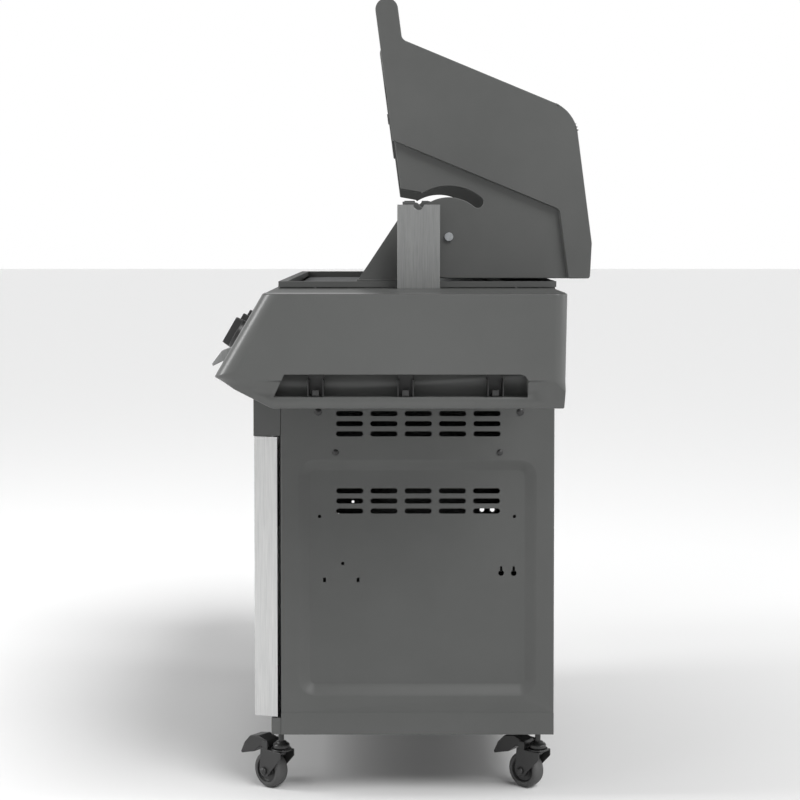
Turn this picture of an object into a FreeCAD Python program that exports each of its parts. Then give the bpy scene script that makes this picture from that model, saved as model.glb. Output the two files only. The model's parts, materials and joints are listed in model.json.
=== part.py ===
import FreeCAD, Part
import math
import os
import re
import Sketcher
from FreeCAD import Placement, Rotation, Vector

# A gas barbecue grill on casters, in millimetres. +X is the grill's own left-to-right, -Y its front,
# +Z up. The origin is on the floor, under the middle of the grill. The lid is modelled open.

doc = FreeCAD.newDocument("gas_grill")
sizes = doc.addObject("Spreadsheet::Sheet", "sizes")
places = doc.addObject("Spreadsheet::Sheet", "places")

SIZES = (
    ("cabinet_width", 690, "cabinet, outside of one side panel to the other"),
    ("cabinet_depth", 478, "cabinet, front edge to rear face"),
    ("front_setback", 212.5, "front edge of the cabinet, ahead of the origin"),
    ("caster_height", 111, "floor to the underside of the base"),
    ("base_height", 39, "skirt of the base"),
    ("cabinet_height", 585, "side panels"),
    ("firebox_height", 172, "firebox, on the side panels, to its rim"),
    ("sheet_wall", 2, "folded steel sheet"),
    ("panel_return", 20, "folded edges of a side panel"),
    ("slot_length", 47.5, "louvre slot"),
    ("slot_width", 9.2, "louvre slot"),
    ("slot_pitch", 59.9, "louvre slots, along the panel"),
    ("slot_row_pitch", 17.75, "louvre slots, one row above the next"),
    ("slot_group_pitch", 137, "lower group of louvres below the upper"),
    ("slot_first_row", 59, "top row of louvres below the panel's top"),
    ("slot_first_column", 120.5, "first louvre's centre behind the panel's front"),
    ("ring_edge", 30, "pressed ring, from the panel's front edge"),
    ("ring_width", 22, "pressed ring, across the groove"),
    ("ring_depth", 0.8, "pressed ring, into the sheet"),
    ("ring_radius", 30, "pressed ring, outer corners"),
    ("ring_bottom", 28, "pressed ring, above the panel's bottom"),
    ("ring_height", 418, "pressed ring, overall"),
    ("header_height", 98, "rail above the doors"),
    ("door_depth", 41, "door, front to back"),
    ("door_gap", 2, "gap round a door"),
    ("door_standoff", 6, "door behind face, ahead of the cabinet's front edge"),
    ("door_taper", 11, "door side, leaning in towards the front"),
    ("door_axis_inset", 11, "door hinge, in from the cabinet's side"),
    ("door_axis_ahead", 14, "door hinge, ahead of the cabinet's front edge"),
    ("hinge_pin_radius", 3, "door hinge pin"),
    ("pull_width", 34, "recessed door pull"),
    ("pull_height", 150, "recessed door pull"),
    ("pull_depth", 22, "recessed door pull"),
    ("pull_edge", 26, "door pull, from the door's free edge"),
    ("pull_below_top", 60, "door pull, below the door's top"),
    ("rail_depth", 17, "front lower rail"),
    ("rail_height", 26, "front lower rail"),
    ("gusset_wall", 3, "corner plates that carry the casters"),
    ("gusset_length", 90, "corner plates"),
    ("rim_overhang", 13, "firebox rim beyond the cabinet's side"),
    ("rim_height", 10, "firebox rim flange"),
    ("rim_width", 15, "firebox rim, flange to opening"),
    ("firebox_wall", 3, "firebox sheet"),
    ("ledge_depth", 89, "fixed ledge behind the cooking area"),
    ("ledge_reach", 9, "ledges under the grids and flame tamers, past the opening's edge"),
    ("funnel_top_drop", 107, "rim to the top of the firebox's sloping floor"),
    ("funnel_height", 55, "sloping floor"),
    ("outlet_width", 120, "grease outlet"),
    ("outlet_depth", 80, "grease outlet"),
    ("grid_drop", 12, "top of the cooking grids below the rim"),
    ("grid_wall", 9, "cooking grids"),
    ("grid_gap", 2, "cooking grids, round their edges"),
    ("grid_slot", 9, "opening between two bars of a cooking grid"),
    ("grid_pitch", 16, "bars of a cooking grid"),
    ("burner_radius", 12.7, "burner tube"),
    ("burner_drop", 94, "burner centres below the rim"),
    ("knob_pitch", 140, "one burner to the next"),
    ("tamer_width", 78, "flame tamer"),
    ("tamer_height", 26, "flame tamer"),
    ("tamer_drop", 34, "top of the flame tamers below the rim"),
    ("pivot_rise", 77, "lid pivot above the firebox rim"),
    ("pivot_from_rear", 185, "lid pivot ahead of the cabinet's rear"),
    ("lid_swing", 82.5, "lid opening angle, degrees"),
    ("rim_gap", 2, "closed lid above the firebox rim"),
    ("lid_overhang", 54, "lid front, ahead of the cabinet's front"),
    ("lid_rise", 243, "lid top above its pivot"),
    ("lid_end_wall", 4, "lid end plate"),
    ("lid_band", 14, "lid end, where it is thick"),
    ("lid_tail", 72, "lid's rear edge from the pivot"),
    ("lid_slope", 60, "lid front, degrees from level"),
    ("lid_crown", 65, "corner radius from the lid's front to its top"),
    ("skin_inset", 10, "lid skin inside the edge of the lid ends"),
    ("prong_length", 54, "handle bracket, out from the lid's front"),
    ("prong_height", 39, "handle bracket"),
    ("handle_radius", 13, "lid handle"),
    ("dial_radius", 32, "thermometer"),
    ("dial_along", 0.55, "thermometer, up the lid's front, as a part of its length"),
    ("spit_radius", 78, "spit slot in the lid end, from the pivot"),
    ("spit_slot", 19, "spit slot, across"),
    ("spit_angle", 132.6, "spit from the pivot, degrees from +Y"),
    ("pivot_pin_radius", 5, "lid pivot pin"),
    ("ear_wall", 4, "hinge ears beside the lid ends"),
    ("ear_inset", 12, "hinge ear's outer face, in from the rim's edge"),
    ("lid_end_inset", 8, "lid end's inner face, in from the rim's edge"),
    ("shelf_width", 260, "side shelf"),
    ("shelf_gap", 2, "side shelf from the firebox rim"),
    ("shelf_drop", 12, "shelf top below the firebox rim"),
    ("shelf_rear_inset", 4, "rear of the shelves, ahead of the cabinet's rear"),
    ("shelf_skirt", 60, "rear skirt of a shelf"),
    ("console_ahead", 8, "top edge of the sloping front, ahead of the cabinet"),
    ("console_slope", 60, "sloping front, degrees from level"),
    ("fascia_length", 150, "sloping front of a shelf"),
    ("panel_length", 182, "sloping front of the control panel"),
    ("cap_width", 60, "end cap of a shelf"),
    ("cap_height", 184, "end cap of a shelf"),
    ("cap_wall", 5, "end cap"),
    ("cap_round", 9, "outer edges of an end cap"),
    ("pocket_depth", 30, "hook pocket"),
    ("pocket_height", 38, "hook pocket"),
    ("pocket_length", 406, "hook pocket"),
    ("pocket_lip", 19, "end cap below the hook pocket"),
    ("hook_pitch", 143, "tool hooks"),
    ("hook_width", 26, "tool hook plates"),
    ("knob_down_slope", 116, "knob axis, down the slope from its top edge"),
    ("knob_radius", 28, "control knob"),
    ("knob_length", 30, "control knob"),
    ("knob_front", 41, "face of a knob from the panel"),
    ("knob_travel", 4, "press of a knob"),
    ("bezel_radius", 34, "knob bezel"),
    ("bezel_height", 6, "knob bezel"),
    ("stem_radius", 4, "valve stem"),
    ("valve_width", 26, "gas valve body"),
    ("valve_length", 30, "gas valve body"),
    ("manifold_radius", 10, "gas manifold"),
    ("inlet_length", 30, "gas inlet, below the manifold's axis"),
    ("running_gap", 0.05, "clearance on a turning or sliding fit"),
    ("part_gap", 0.3, "clearance between pieces that move past each other"),
    ("spit_bracket_width", 73, "rotisserie bracket"),
    ("spit_bracket_height", 144, "rotisserie bracket"),
    ("spit_bracket_depth", 17, "rotisserie bracket"),
    ("spit_bracket_out", 34, "rotisserie bracket's plate, from the shelf's inner edge"),
    ("spit_notch", 9, "notch radius for the spit"),
    ("tray_width", 280, "grease tray"),
    ("tray_length", 300, "grease tray"),
    ("tray_height", 30, "grease tray"),
    ("tray_drop", 15, "grease tray's rim below the outlet"),
    ("caster_inset", 45, "caster stems from the cabinet's sides"),
    ("front_caster", 3, "front stems, ahead of the cabinet's front"),
    ("rear_caster", 24, "rear stems, ahead of the cabinet's rear"),
    ("wheel_diameter", 63, "caster wheel"),
    ("wheel_width", 28, "caster wheel"),
    ("tread_radius", 5, "rounded shoulders of a caster wheel"),
    ("caster_trail", 25, "axle behind the stem"),
    ("caster_yaw", -40, "how far the casters are swung round, degrees"),
    ("fork_wall", 2.5, "caster fork sheet"),
    ("caster_stem_radius", 5, "caster stem"),
    ("axle_radius", 4, "caster axle"),
    ("pedal_pin_radius", 2.5, "brake pedal pin"),
)

PLACES = (
    ("half_width", "=sizes.cabinet_width / 2", "outside of a side panel"),
    ("front_y", "=-sizes.front_setback", "cabinet front"),
    ("rear_y", "=places.front_y + sizes.cabinet_depth", "cabinet rear"),
    ("base_top", "=sizes.caster_height + sizes.base_height", "base"),
    ("cabinet_top", "=places.base_top + sizes.cabinet_height", "side panels"),
    ("rim_top", "=places.cabinet_top + sizes.firebox_height", "firebox rim"),
    ("rim_half", "=places.half_width + sizes.rim_overhang", "firebox rim"),
    ("opening_half", "=places.rim_half - sizes.rim_width", "cooking area"),
    ("opening_front", "=places.front_y - 2 + sizes.rim_width", "cooking area"),
    ("opening_rear", "=places.rear_y - sizes.ledge_depth", "cooking area"),
    ("funnel_top", "=places.rim_top - sizes.funnel_top_drop", "sloping floor"),
    ("outlet_z", "=places.funnel_top - sizes.funnel_height", "grease outlet"),
    ("outlet_y", "=(places.opening_front + places.opening_rear) / 2 + 38", "grease outlet"),
    ("shelf_top", "=places.rim_top - sizes.shelf_drop", "side shelves"),
    ("shelf_inner", "=places.rim_half + sizes.shelf_gap", "side shelves"),
    ("shelf_outer", "=places.shelf_inner + sizes.shelf_width", "side shelves"),
    ("shelf_rear", "=places.rear_y - sizes.shelf_rear_inset", "side shelves"),
    ("cap_inner", "=places.shelf_outer - sizes.cap_width", "end caps"),
    ("slope_cos", "=cos(sizes.console_slope * 1 deg)", "sloping front"),
    ("slope_sin", "=sin(sizes.console_slope * 1 deg)", "sloping front"),
    ("console_y", "=places.front_y - sizes.console_ahead", "top edge of the sloping front"),
    ("knob_y", "=places.console_y - sizes.knob_down_slope * places.slope_cos", "knob axis at the panel"),
    ("knob_z", "=places.shelf_top - sizes.knob_down_slope * places.slope_sin", "knob axis at the panel"),
    ("pivot_y", "=places.rear_y - sizes.pivot_from_rear", "lid pivot"),
    ("pivot_z", "=places.rim_top + sizes.pivot_rise", "lid pivot"),
    ("lid_rim", "=sizes.rim_gap - sizes.pivot_rise", "closed lid's rim, from the pivot"),
    ("lid_front", "=places.front_y - sizes.lid_overhang - places.pivot_y", "front corner of the closed lid"),
    ("lid_tan", "=tan(sizes.lid_slope * 1 deg)", "lid front"),
    ("prong_top", "=places.lid_rim + sizes.prong_height", "handle bracket, from the pivot"),
    (
        "lid_crown_y",
        "=places.lid_front + (sizes.lid_rise - places.prong_top) / places.lid_tan",
        "lid's top corner",
    ),
    ("tail_cos", "=cos((90 - sizes.lid_swing) * 1 deg)", "lid's rear edge"),
    ("tail_tan", "=tan((90 - sizes.lid_swing) * 1 deg)", "lid's rear edge"),
    ("lid_end_x", "=places.rim_half - sizes.lid_end_inset", "lid end's inner face"),
    ("ear_x", "=places.rim_half - sizes.ear_inset", "hinge ear's outer face"),
    ("handle_y", "=places.lid_front - sizes.prong_length", "lid handle, from the pivot"),
    ("handle_z", "=places.lid_rim + sizes.prong_height / 2", "lid handle, from the pivot"),
    ("header_bottom", "=places.cabinet_top - sizes.header_height", "rail above the doors"),
    ("door_rear", "=places.front_y - sizes.door_standoff", "doors"),
    ("door_front", "=places.door_rear - sizes.door_depth", "doors"),
    ("door_bottom", "=sizes.caster_height + sizes.gusset_wall + sizes.rail_height + sizes.door_gap", "doors"),
    ("door_top", "=places.header_bottom - sizes.door_gap", "doors"),
    ("door_axis_x", "=places.half_width - sizes.door_axis_inset", "door hinge"),
    ("door_axis_y", "=places.front_y - sizes.door_axis_ahead", "door hinge"),
    ("caster_x", "=places.half_width - sizes.caster_inset", "caster stems"),
    ("front_caster_y", "=places.front_y - sizes.front_caster", "front caster stems"),
    ("rear_caster_y", "=places.rear_y - sizes.rear_caster", "rear caster stems"),
    ("wheel_radius", "=sizes.wheel_diameter / 2", "caster axle above the floor"),
    ("fork_top", "=sizes.wheel_diameter + 8", "top of a caster fork"),
    ("fork_half", "=sizes.wheel_width / 2 + 2 + sizes.fork_wall", "outside of a caster fork"),
    ("tray_top", "=places.outlet_z - sizes.tray_drop", "grease tray"),
    ("tray_bottom", "=places.tray_top - sizes.tray_height", "grease tray"),
    ("tray_front", "=places.outlet_y - sizes.tray_length / 2", "grease tray"),
    ("tray_rear", "=places.outlet_y + sizes.tray_length / 2", "grease tray"),
    ("spit_y", "=places.pivot_y + sizes.spit_radius * cos(sizes.spit_angle * 1 deg)", "spit"),
    ("spit_z", "=places.pivot_z + sizes.spit_radius * sin(sizes.spit_angle * 1 deg)", "spit"),
)

SHEET_OF = {}


def fill_sheet(sheet, rows):
    """Write one row per size: its name, its cell with an alias, and what it measures."""
    for line, (alias, content, meaning) in enumerate(rows, 1):
        sheet.set(f"A{line}", alias)
        sheet.set(f"B{line}", str(content))
        sheet.setAlias(f"B{line}", alias)
        sheet.set(f"C{line}", meaning)
        SHEET_OF[alias] = sheet.Name


fill_sheet(sizes, SIZES)
fill_sheet(places, PLACES)
doc.recompute()


def bound(text):
    """The same expression, with the name of its sheet in front of each size."""
    return re.sub(r"[a-z][a-z_0-9]*", lambda word: with_sheet(word.group()), str(text))


def with_sheet(word):
    return f"{SHEET_OF[word]}.{word}" if word in SHEET_OF else word


def number(text):
    """What an expression of sizes comes to."""
    return float(sizes.evalExpression(bound(text)))


def bind(thing, **expressions):
    for name, text in expressions.items():
        thing.setExpression(name.replace("__", "."), bound(text))


def place(thing, x="0", y="0", z="0", axis=(0, 0, 1), angle="0"):
    """Put a sub-part, or a piece of one, at a place and an angle worked out from the sizes."""
    turn = f"rotation(vector({axis[0]}; {axis[1]}; {axis[2]}); {angle})"
    thing.setExpression("Placement", bound(f"placement(vector({x}; {y}; {z}); {turn})"))
    return thing


# ---- Solids from primitives -------------------------------------------------------------------

def box(name, x, y, z):
    """A block from x[0] to x[1], y[0] to y[1] and z[0] to z[1]."""
    solid = doc.addObject("Part::Box", name)
    for side, (low, high) in zip(("Length", "Width", "Height"), (x, y, z)):
        bind(solid, **{side: f"({high}) - ({low})"})
    return place(solid, x[0], y[0], z[0])


TURN_TO = {"x": ((0, 1, 0), "90"), "y": ((1, 0, 0), "-90"), "z": ((0, 0, 1), "0")}


def rod(name, radius, length, start=("0", "0", "0"), along="z"):
    solid = doc.addObject("Part::Cylinder", name)
    bind(solid, Radius=radius, Height=length)
    axis, angle = TURN_TO[along]
    return place(solid, *start, axis=axis, angle=angle)


def cut(name, base, tool):
    result = doc.addObject("Part::Cut", name)
    result.Base = base
    result.Tool = tool
    return result


def fuse(name, *pieces):
    result = doc.addObject("Part::MultiFuse", name)
    result.Shapes = list(pieces)
    result.Refine = True
    return result


def group(name, *pieces):
    """Like pieces that share a node and stay separate solids."""
    result = doc.addObject("Part::Compound", name)
    result.Links = list(pieces)
    return result


def mirrored(name, piece):
    """The left-hand twin of a right-hand piece."""
    twin = doc.addObject("Part::Mirroring", name)
    twin.Source = piece
    twin.Normal = Vector(1, 0, 0)
    return twin


# ---- Sketches, with every corner tied to the sheets -------------------------------------------

PLANE_TURN = {
    "across_x": Rotation(Vector(1, 1, 1), 120),
    "across_z": Rotation(),
}


def fix_point(sketch, piece, point, u, v):
    for kind, text in (("DistanceX", u), ("DistanceY", v)):
        tie = sketch.addConstraint(Sketcher.Constraint(kind, -1, 1, piece, point, number(text)))
        sketch.setExpression(f"Constraints[{tie}]", bound(text))


def outline(sketch, points, closed=True):
    """Straight lines through the points, a closed ring of them or an open run."""
    spots = [Vector(number(u), number(v), 0) for u, v in points]
    ends = spots[1:] + spots[:1] if closed else spots[1:]
    first = sketch.GeometryCount
    for start, end in zip(spots, ends):
        sketch.addGeometry(Part.LineSegment(start, end))
    last = sketch.GeometryCount - 1
    for line in range(first, last):
        sketch.addConstraint(Sketcher.Constraint("Coincident", line, 2, line + 1, 1))
    if closed:
        sketch.addConstraint(Sketcher.Constraint("Coincident", last, 2, first, 1))
    for line, (u, v) in zip(range(first, last + 1), points):
        fix_point(sketch, line, 1, u, v)
    if not closed:
        fix_point(sketch, last, 2, *points[-1])


def tie_arcs(sketch, pairs, arcs, radius):
    for line, line_end, arc, arc_end in pairs:
        sketch.addConstraint(Sketcher.Constraint("Tangent", line, line_end, arc, arc_end))
    for arc in arcs[1:]:
        sketch.addConstraint(Sketcher.Constraint("Equal", arcs[0], arc))
    tie = sketch.addConstraint(Sketcher.Constraint("Radius", arcs[0], number(radius)))
    sketch.setExpression(f"Constraints[{tie}]", bound(radius))


def arc(sketch, centre, radius, start, end):
    circle = Part.Circle(Vector(*centre, 0), Vector(0, 0, 1), radius)
    return sketch.addGeometry(Part.ArcOfCircle(circle, math.radians(start), math.radians(end)))


def line(sketch, start, end):
    return sketch.addGeometry(Part.LineSegment(Vector(*start, 0), Vector(*end, 0)))


def slot_outline(sketch, u, v, length, width):
    """A slot with round ends, its centre at (u, v)."""
    half, radius = (number(length) - number(width)) / 2, number(width) / 2
    middle = (number(u), number(v))
    left_centre, right_centre = (middle[0] - half, middle[1]), (middle[0] + half, middle[1])
    left = arc(sketch, left_centre, radius, 90, 270)
    right = arc(sketch, right_centre, radius, -90, 90)
    top = line(sketch, (left_centre[0], middle[1] + radius), (right_centre[0], middle[1] + radius))
    bottom = line(sketch, (left_centre[0], middle[1] - radius), (right_centre[0], middle[1] - radius))
    pairs = ((top, 1, left, 1), (bottom, 1, left, 2), (top, 2, right, 2), (bottom, 2, right, 1))
    tie_arcs(sketch, pairs, (left, right), f"({width}) / 2")
    fix_point(sketch, left, 3, f"({u}) - (({length}) - ({width})) / 2", v)
    fix_point(sketch, right, 3, f"({u}) + (({length}) - ({width})) / 2", v)


def rounded_outline(sketch, u, v, radius):
    """A rectangle from u[0] to u[1] and v[0] to v[1] with round corners."""
    (left, right), (low, high), r = map(number, u), map(number, v), number(radius)
    arcs = [
        arc(sketch, (right - r, high - r), r, 0, 90),
        arc(sketch, (left + r, high - r), r, 90, 180),
        arc(sketch, (left + r, low + r), r, 180, 270),
        arc(sketch, (right - r, low + r), r, 270, 360),
    ]
    top = line(sketch, (right - r, high), (left + r, high))
    side = line(sketch, (left, high - r), (left, low + r))
    bottom = line(sketch, (left + r, low), (right - r, low))
    other = line(sketch, (right, low + r), (right, high - r))
    pairs = []
    for straight, before, after in zip((top, side, bottom, other), arcs, arcs[1:] + arcs[:1]):
        pairs += [(straight, 1, before, 2), (straight, 2, after, 1)]
    tie_arcs(sketch, pairs, arcs, radius)
    for straight in (top, bottom):
        sketch.addConstraint(Sketcher.Constraint("Horizontal", straight))
    for straight in (side, other):
        sketch.addConstraint(Sketcher.Constraint("Vertical", straight))
    fix_point(sketch, arcs[0], 3, f"({u[1]}) - ({radius})", f"({v[1]}) - ({radius})")
    fix_point(sketch, arcs[2], 3, f"({u[0]}) + ({radius})", f"({v[0]}) + ({radius})")


def hole_outline(sketch, u, v, radius):
    ring = sketch.addGeometry(Part.Circle(Vector(number(u), number(v), 0), Vector(0, 0, 1), number(radius)))
    fix_point(sketch, ring, 3, u, v)
    tie = sketch.addConstraint(Sketcher.Constraint("Radius", ring, number(radius)))
    sketch.setExpression(f"Constraints[{tie}]", bound(radius))


# ---- Extruded profiles ------------------------------------------------------------------------

def loose_sketch(name, plane, start):
    sketch = doc.addObject("Sketcher::SketchObject", name + "_sketch")
    sketch.Placement = Placement(Vector(), PLANE_TURN[plane])
    bind(sketch, **{"Placement__Base__" + plane[-1]: start})
    return sketch


def extrude(name, profile, plane, length):
    solid = doc.addObject("Part::Extrusion", name)
    solid.Base = profile
    solid.DirMode = "Custom"
    solid.Dir = Vector(1, 0, 0) if plane == "across_x" else Vector(0, 0, 1)
    solid.Solid = True
    bind(solid, LengthFwd=length)
    return solid


def prism(name, points, span, plane="across_x"):
    """A straight bar with the outline of the points, from span[0] to span[1]."""
    sketch = loose_sketch(name, plane, span[0])
    outline(sketch, points)
    return extrude(name, sketch, plane, f"({span[1]}) - ({span[0]})")


def folded_sheet(name, points, span, wall, plane="across_x"):
    """Sheet folded along the points. Its thickness is on the right of the way that they run."""
    sketch = loose_sketch(name, plane, span[0])
    outline(sketch, points, closed=False)
    section = doc.addObject("Part::Offset2D", name + "_section")
    section.Source = sketch
    section.Mode = "Skin"
    section.Join = "Intersection"
    section.Fill = True
    bind(section, Value=wall)
    return extrude(name, section, plane, f"({span[1]}) - ({span[0]})")


# ---- Bodies -----------------------------------------------------------------------------------

def body_sketch(body, offset, role="YZ_Plane"):
    """A sketch across X (or another of the body's own planes), at a distance along its normal."""
    sketch = body.newObject("Sketcher::SketchObject", body.Name + "_sketch")
    plane = [feature for feature in body.Origin.OriginFeatures if feature.Role == role][0]
    sketch.AttachmentSupport = [(plane, "")]
    sketch.MapMode = "FlatFace"
    bind(sketch, AttachmentOffset__Base__z=offset)
    return sketch


def feature(body, kind, sketch, length, towards_plus):
    """A Pad or a Pocket of a sketch, going towards +X or -X."""
    step = body.newObject("PartDesign::" + kind, f"{body.Name}_{kind.lower()}")
    step.Profile = sketch
    bind(step, Length=length)
    step.Reversed = towards_plus if kind == "Pocket" else not towards_plus
    doc.recompute()
    return step


def round_corner(body, corner, radius, reach="0.5"):
    """Round the edges that run along X through the corner (y, z)."""
    y, z = number(corner[0]), number(corner[1])
    base = body.Tip
    edges = []
    for index, edge in enumerate(base.Shape.Edges, 1):
        ends = [vertex.Point for vertex in edge.Vertexes]
        along_x = all(math.hypot(end.y - y, end.z - z) < number(reach) for end in ends)
        if along_x and len(ends) == 2:
            edges.append(f"Edge{index}")
    fillet = body.newObject("PartDesign::Fillet", body.Name + "_round")
    fillet.Base = (base, edges)
    bind(fillet, Radius=radius)
    doc.recompute()


def soften_face(body, x, radius, kind="Fillet"):
    """Round the edges of the flat face that looks along X at x."""
    base = body.Tip
    for index, face in enumerate(base.Shape.Faces, 1):
        bounds = face.BoundBox
        if abs(bounds.XMin - number(x)) < 1e-3 and abs(bounds.XMax - number(x)) < 1e-3:
            softened = body.newObject("PartDesign::" + kind, body.Name + "_soft")
            softened.Base = (base, [f"Face{index}"])
            bind(softened, **{"Radius" if kind == "Fillet" else "Size": radius})
            doc.recompute()
            return


NODES = []


def node(label, thing):
    """Name a sub-part and list it for export."""
    thing.Label = label
    NODES.append((label, thing))
    return thing


def both_sides(label, right_hand):
    """The right-hand sub-part and its left-hand twin."""
    node(label + "_right", right_hand)
    node(label + "_left", mirrored(label + "_twin", right_hand))


def with_twins(name, pieces):
    """Right-hand pieces and their left-hand twins as one group."""
    return group(name, *pieces, *[mirrored(piece.Name + "_twin", piece) for piece in pieces])


ACROSS = ("-half_width", "half_width")
WITHIN = ("-half_width + sheet_wall", "half_width - sheet_wall")


# ---- Cabinet ----------------------------------------------------------------------------------

def side_panel():
    """Folded sheet with louvres, a pressed ring for stiffness and holes for accessories."""
    body = doc.addObject("PartDesign::Body", "side_panel")
    sheet = body_sketch(body, "half_width")
    low, high = "base_top", "cabinet_top"
    outline(sheet, (("front_y", low), ("rear_y", low), ("rear_y", high), ("front_y", high)))
    feature(body, "Pad", sheet, "panel_return", towards_plus=False)
    hollow = body_sketch(body, "half_width - panel_return")
    front, rear = "front_y + sheet_wall", "rear_y - sheet_wall"
    low, high = "base_top - 1", "cabinet_top + 1"
    outline(hollow, ((front, low), (rear, low), (rear, high), (front, high)))
    feature(body, "Pocket", hollow, "panel_return - sheet_wall", towards_plus=True)

    ring = body_sketch(body, "half_width")
    depth = "cabinet_depth - 2 * ring_edge"
    for inset, radius in (("0", "ring_radius"), ("ring_width * 0.6", "ring_radius - ring_width * 0.6")):
        across = (f"front_y + ring_edge + {inset}", f"front_y + ring_edge + {depth} - {inset}")
        upright = (f"base_top + ring_bottom + {inset}", f"base_top + ring_bottom + ring_height - {inset}")
        rounded_outline(ring, across, upright, radius)
    feature(body, "Pocket", ring, "ring_depth", towards_plus=False)

    holes = body_sketch(body, "half_width")
    for y, z, radius in (
        ("front_y + 67.5", "cabinet_top - 241", "3"),
        ("rear_y - 69", "cabinet_top - 241", "3"),
        ("front_y + 108", "cabinet_top - 324", "3"),
        ("rear_y - 92", "cabinet_top - 341", "5"),
        ("rear_y - 70", "cabinet_top - 341", "5"),
    ):
        hole_outline(holes, y, z, radius)
    feature(body, "Pocket", holes, "sheet_wall", towards_plus=False)

    louvre = body_sketch(body, "half_width")
    middle = ("front_y + slot_first_column", "cabinet_top - slot_first_row")
    slot_outline(louvre, *middle, "slot_length", "slot_width")
    slot = feature(body, "Pocket", louvre, "sheet_wall", towards_plus=False)
    repeats = []
    for way, pitch, count in (
        ("H_Axis", "slot_pitch", 5),
        ("V_Axis", "slot_row_pitch", 3),
        ("V_Axis", "slot_group_pitch", 2),
    ):
        repeat = body.newObject("PartDesign::LinearPattern", f"louvres_{pitch}")
        repeat.Direction = (louvre, [way])
        repeat.Reversed = way == "V_Axis"
        repeat.Occurrences = count
        bind(repeat, Length=f"{pitch} * {count - 1}")
        repeats.append(repeat)
    louvres = body.newObject("PartDesign::MultiTransform", "louvres")
    louvres.Originals = [slot]
    louvres.Transformations = repeats
    body.Tip = louvres
    return body


def rear_panel():
    behind = ("rear_y - 2 * sheet_wall", "rear_y - sheet_wall")
    sheet = box("rear_sheet", WITHIN, behind, ("base_top", "cabinet_top"))
    opening = box(
        "rear_opening",
        ("-tray_width / 2 - 14", "tray_width / 2 + 14"),
        ("rear_y - 3 * sheet_wall", "rear_y"),
        ("tray_bottom - 8", "cabinet_top + 1"),
    )
    vents = []
    for row in range(4):
        low = f"base_top + 60 + {row} * 2 * slot_width"
        across, along = ("-cabinet_width / 4", "cabinet_width / 4"), ("rear_y - 3 * sheet_wall", "rear_y")
        vents.append(box(f"rear_vent_{row}", across, along, (low, f"{low} + slot_width")))
    return cut("rear_panel", sheet, group("rear_cuts", opening, *vents))


def corner_plate(name, side, front, rear):
    """Plate under a corner of the base, with the hole for a caster stem."""
    inner, outer = "half_width - gusset_length", "half_width - sheet_wall"
    across = (inner, outer) if side > 0 else (f"-({outer})", f"-({inner})")
    return box(name, across, (front, rear), ("caster_height", "caster_height + gusset_wall"))


def base_shelf():
    skirt = box("base_outside", ACROSS, ("front_y", "rear_y"), ("caster_height", "base_top"))
    hollow = box(
        "base_inside",
        WITHIN,
        ("front_y + sheet_wall", "rear_y - sheet_wall"),
        ("caster_height - 1", "base_top - sheet_wall"),
    )
    plates = []
    for side in (1, -1):
        for end, front, rear in (
            ("front", "front_y - rail_depth", "front_y + gusset_length"),
            ("rear", "rear_y - gusset_length", "rear_y - sheet_wall"),
        ):
            plates.append(corner_plate(f"{end}_plate_{side}", side, front, rear))
    return cut("base_shelf", fuse("base_solid", cut("base_tray", skirt, hollow), *plates), stem_holes())


def stem_holes():
    return group("stem_holes", *[
        rod(f"stem_hole_{n}", "caster_stem_radius", "gusset_wall + 2", (x, y, "caster_height - 1"))
        for n, x, y in caster_corners()
    ])


def caster_corners():
    """The casters' numbers and places, from the front right one."""
    corners = []
    for y in ("front_caster_y", "rear_caster_y"):
        for x in ("caster_x", "-caster_x"):
            corners.append((len(corners) + 1, x, y))
    return corners


def front_lower_rail():
    foot = "caster_height + gusset_wall"
    bar = box("rail_outside", WITHIN, ("front_y - rail_depth", "front_y"), (foot, f"{foot} + rail_height"))
    hollow = box(
        "rail_inside",
        ("-half_width + 20", "half_width - 20"),
        ("front_y - rail_depth + sheet_wall", "front_y + 1"),
        (f"{foot} + sheet_wall", f"{foot} + rail_height - sheet_wall"),
    )
    return cut("front_lower_rail", bar, fuse("rail_cuts", hollow, *pin_bores("rail", -1)))


def pin_bores(name, end):
    """Bores for the door hinge pins, up into the header (end 1) or down into the rail (end -1)."""
    z = "door_top" if end > 0 else "door_bottom - door_gap - 8"
    bores = []
    for side in (1, -1):
        start = (f"{side} * door_axis_x", "door_axis_y", z)
        bores.append(rod(f"{name}_bore_{side}", "hinge_pin_radius", "8 + door_gap", start))
    return bores


def door_header():
    outside = box("header_outside", ACROSS, ("door_front", "front_y"), ("header_bottom", "cabinet_top"))
    hollow = box(
        "header_inside",
        WITHIN,
        ("door_front + sheet_wall", "front_y + 1"),
        ("header_bottom + 5", "cabinet_top - sheet_wall"),
    )
    return cut("door_header", outside, fuse("header_cuts", hollow, *pin_bores("header", 1)))


def hinge_pins():
    """The lid's two pivots and the doors' four pins."""
    pins = []
    for side in (1, -1):
        for end, low in (("top", "door_top - 6"), ("bottom", "door_bottom - door_gap - 5")):
            start = (f"{side} * door_axis_x", "door_axis_y", low)
            pins.append(rod(f"door_pin_{end}_{side}", "hinge_pin_radius", "6 + door_gap + 5", start))
        length = "lid_end_x - ear_x + ear_wall + lid_end_wall + part_gap"
        shank_x = "ear_x - ear_wall" if side > 0 else f"-(ear_x - ear_wall) - ({length})"
        shank = rod(f"pivot_shank_{side}", "pivot_pin_radius", length, (shank_x, "pivot_y", "pivot_z"), "x")
        face = "lid_end_x + lid_end_wall + part_gap"
        head_x = face if side > 0 else f"-({face}) - 4"
        head = rod(f"pivot_head_{side}", "pivot_pin_radius + 2.5", "4", (head_x, "pivot_y", "pivot_z"), "x")
        pins.append(fuse(f"pivot_{side}", shank, head))
    return group("hinge_pins", *pins)


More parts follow.
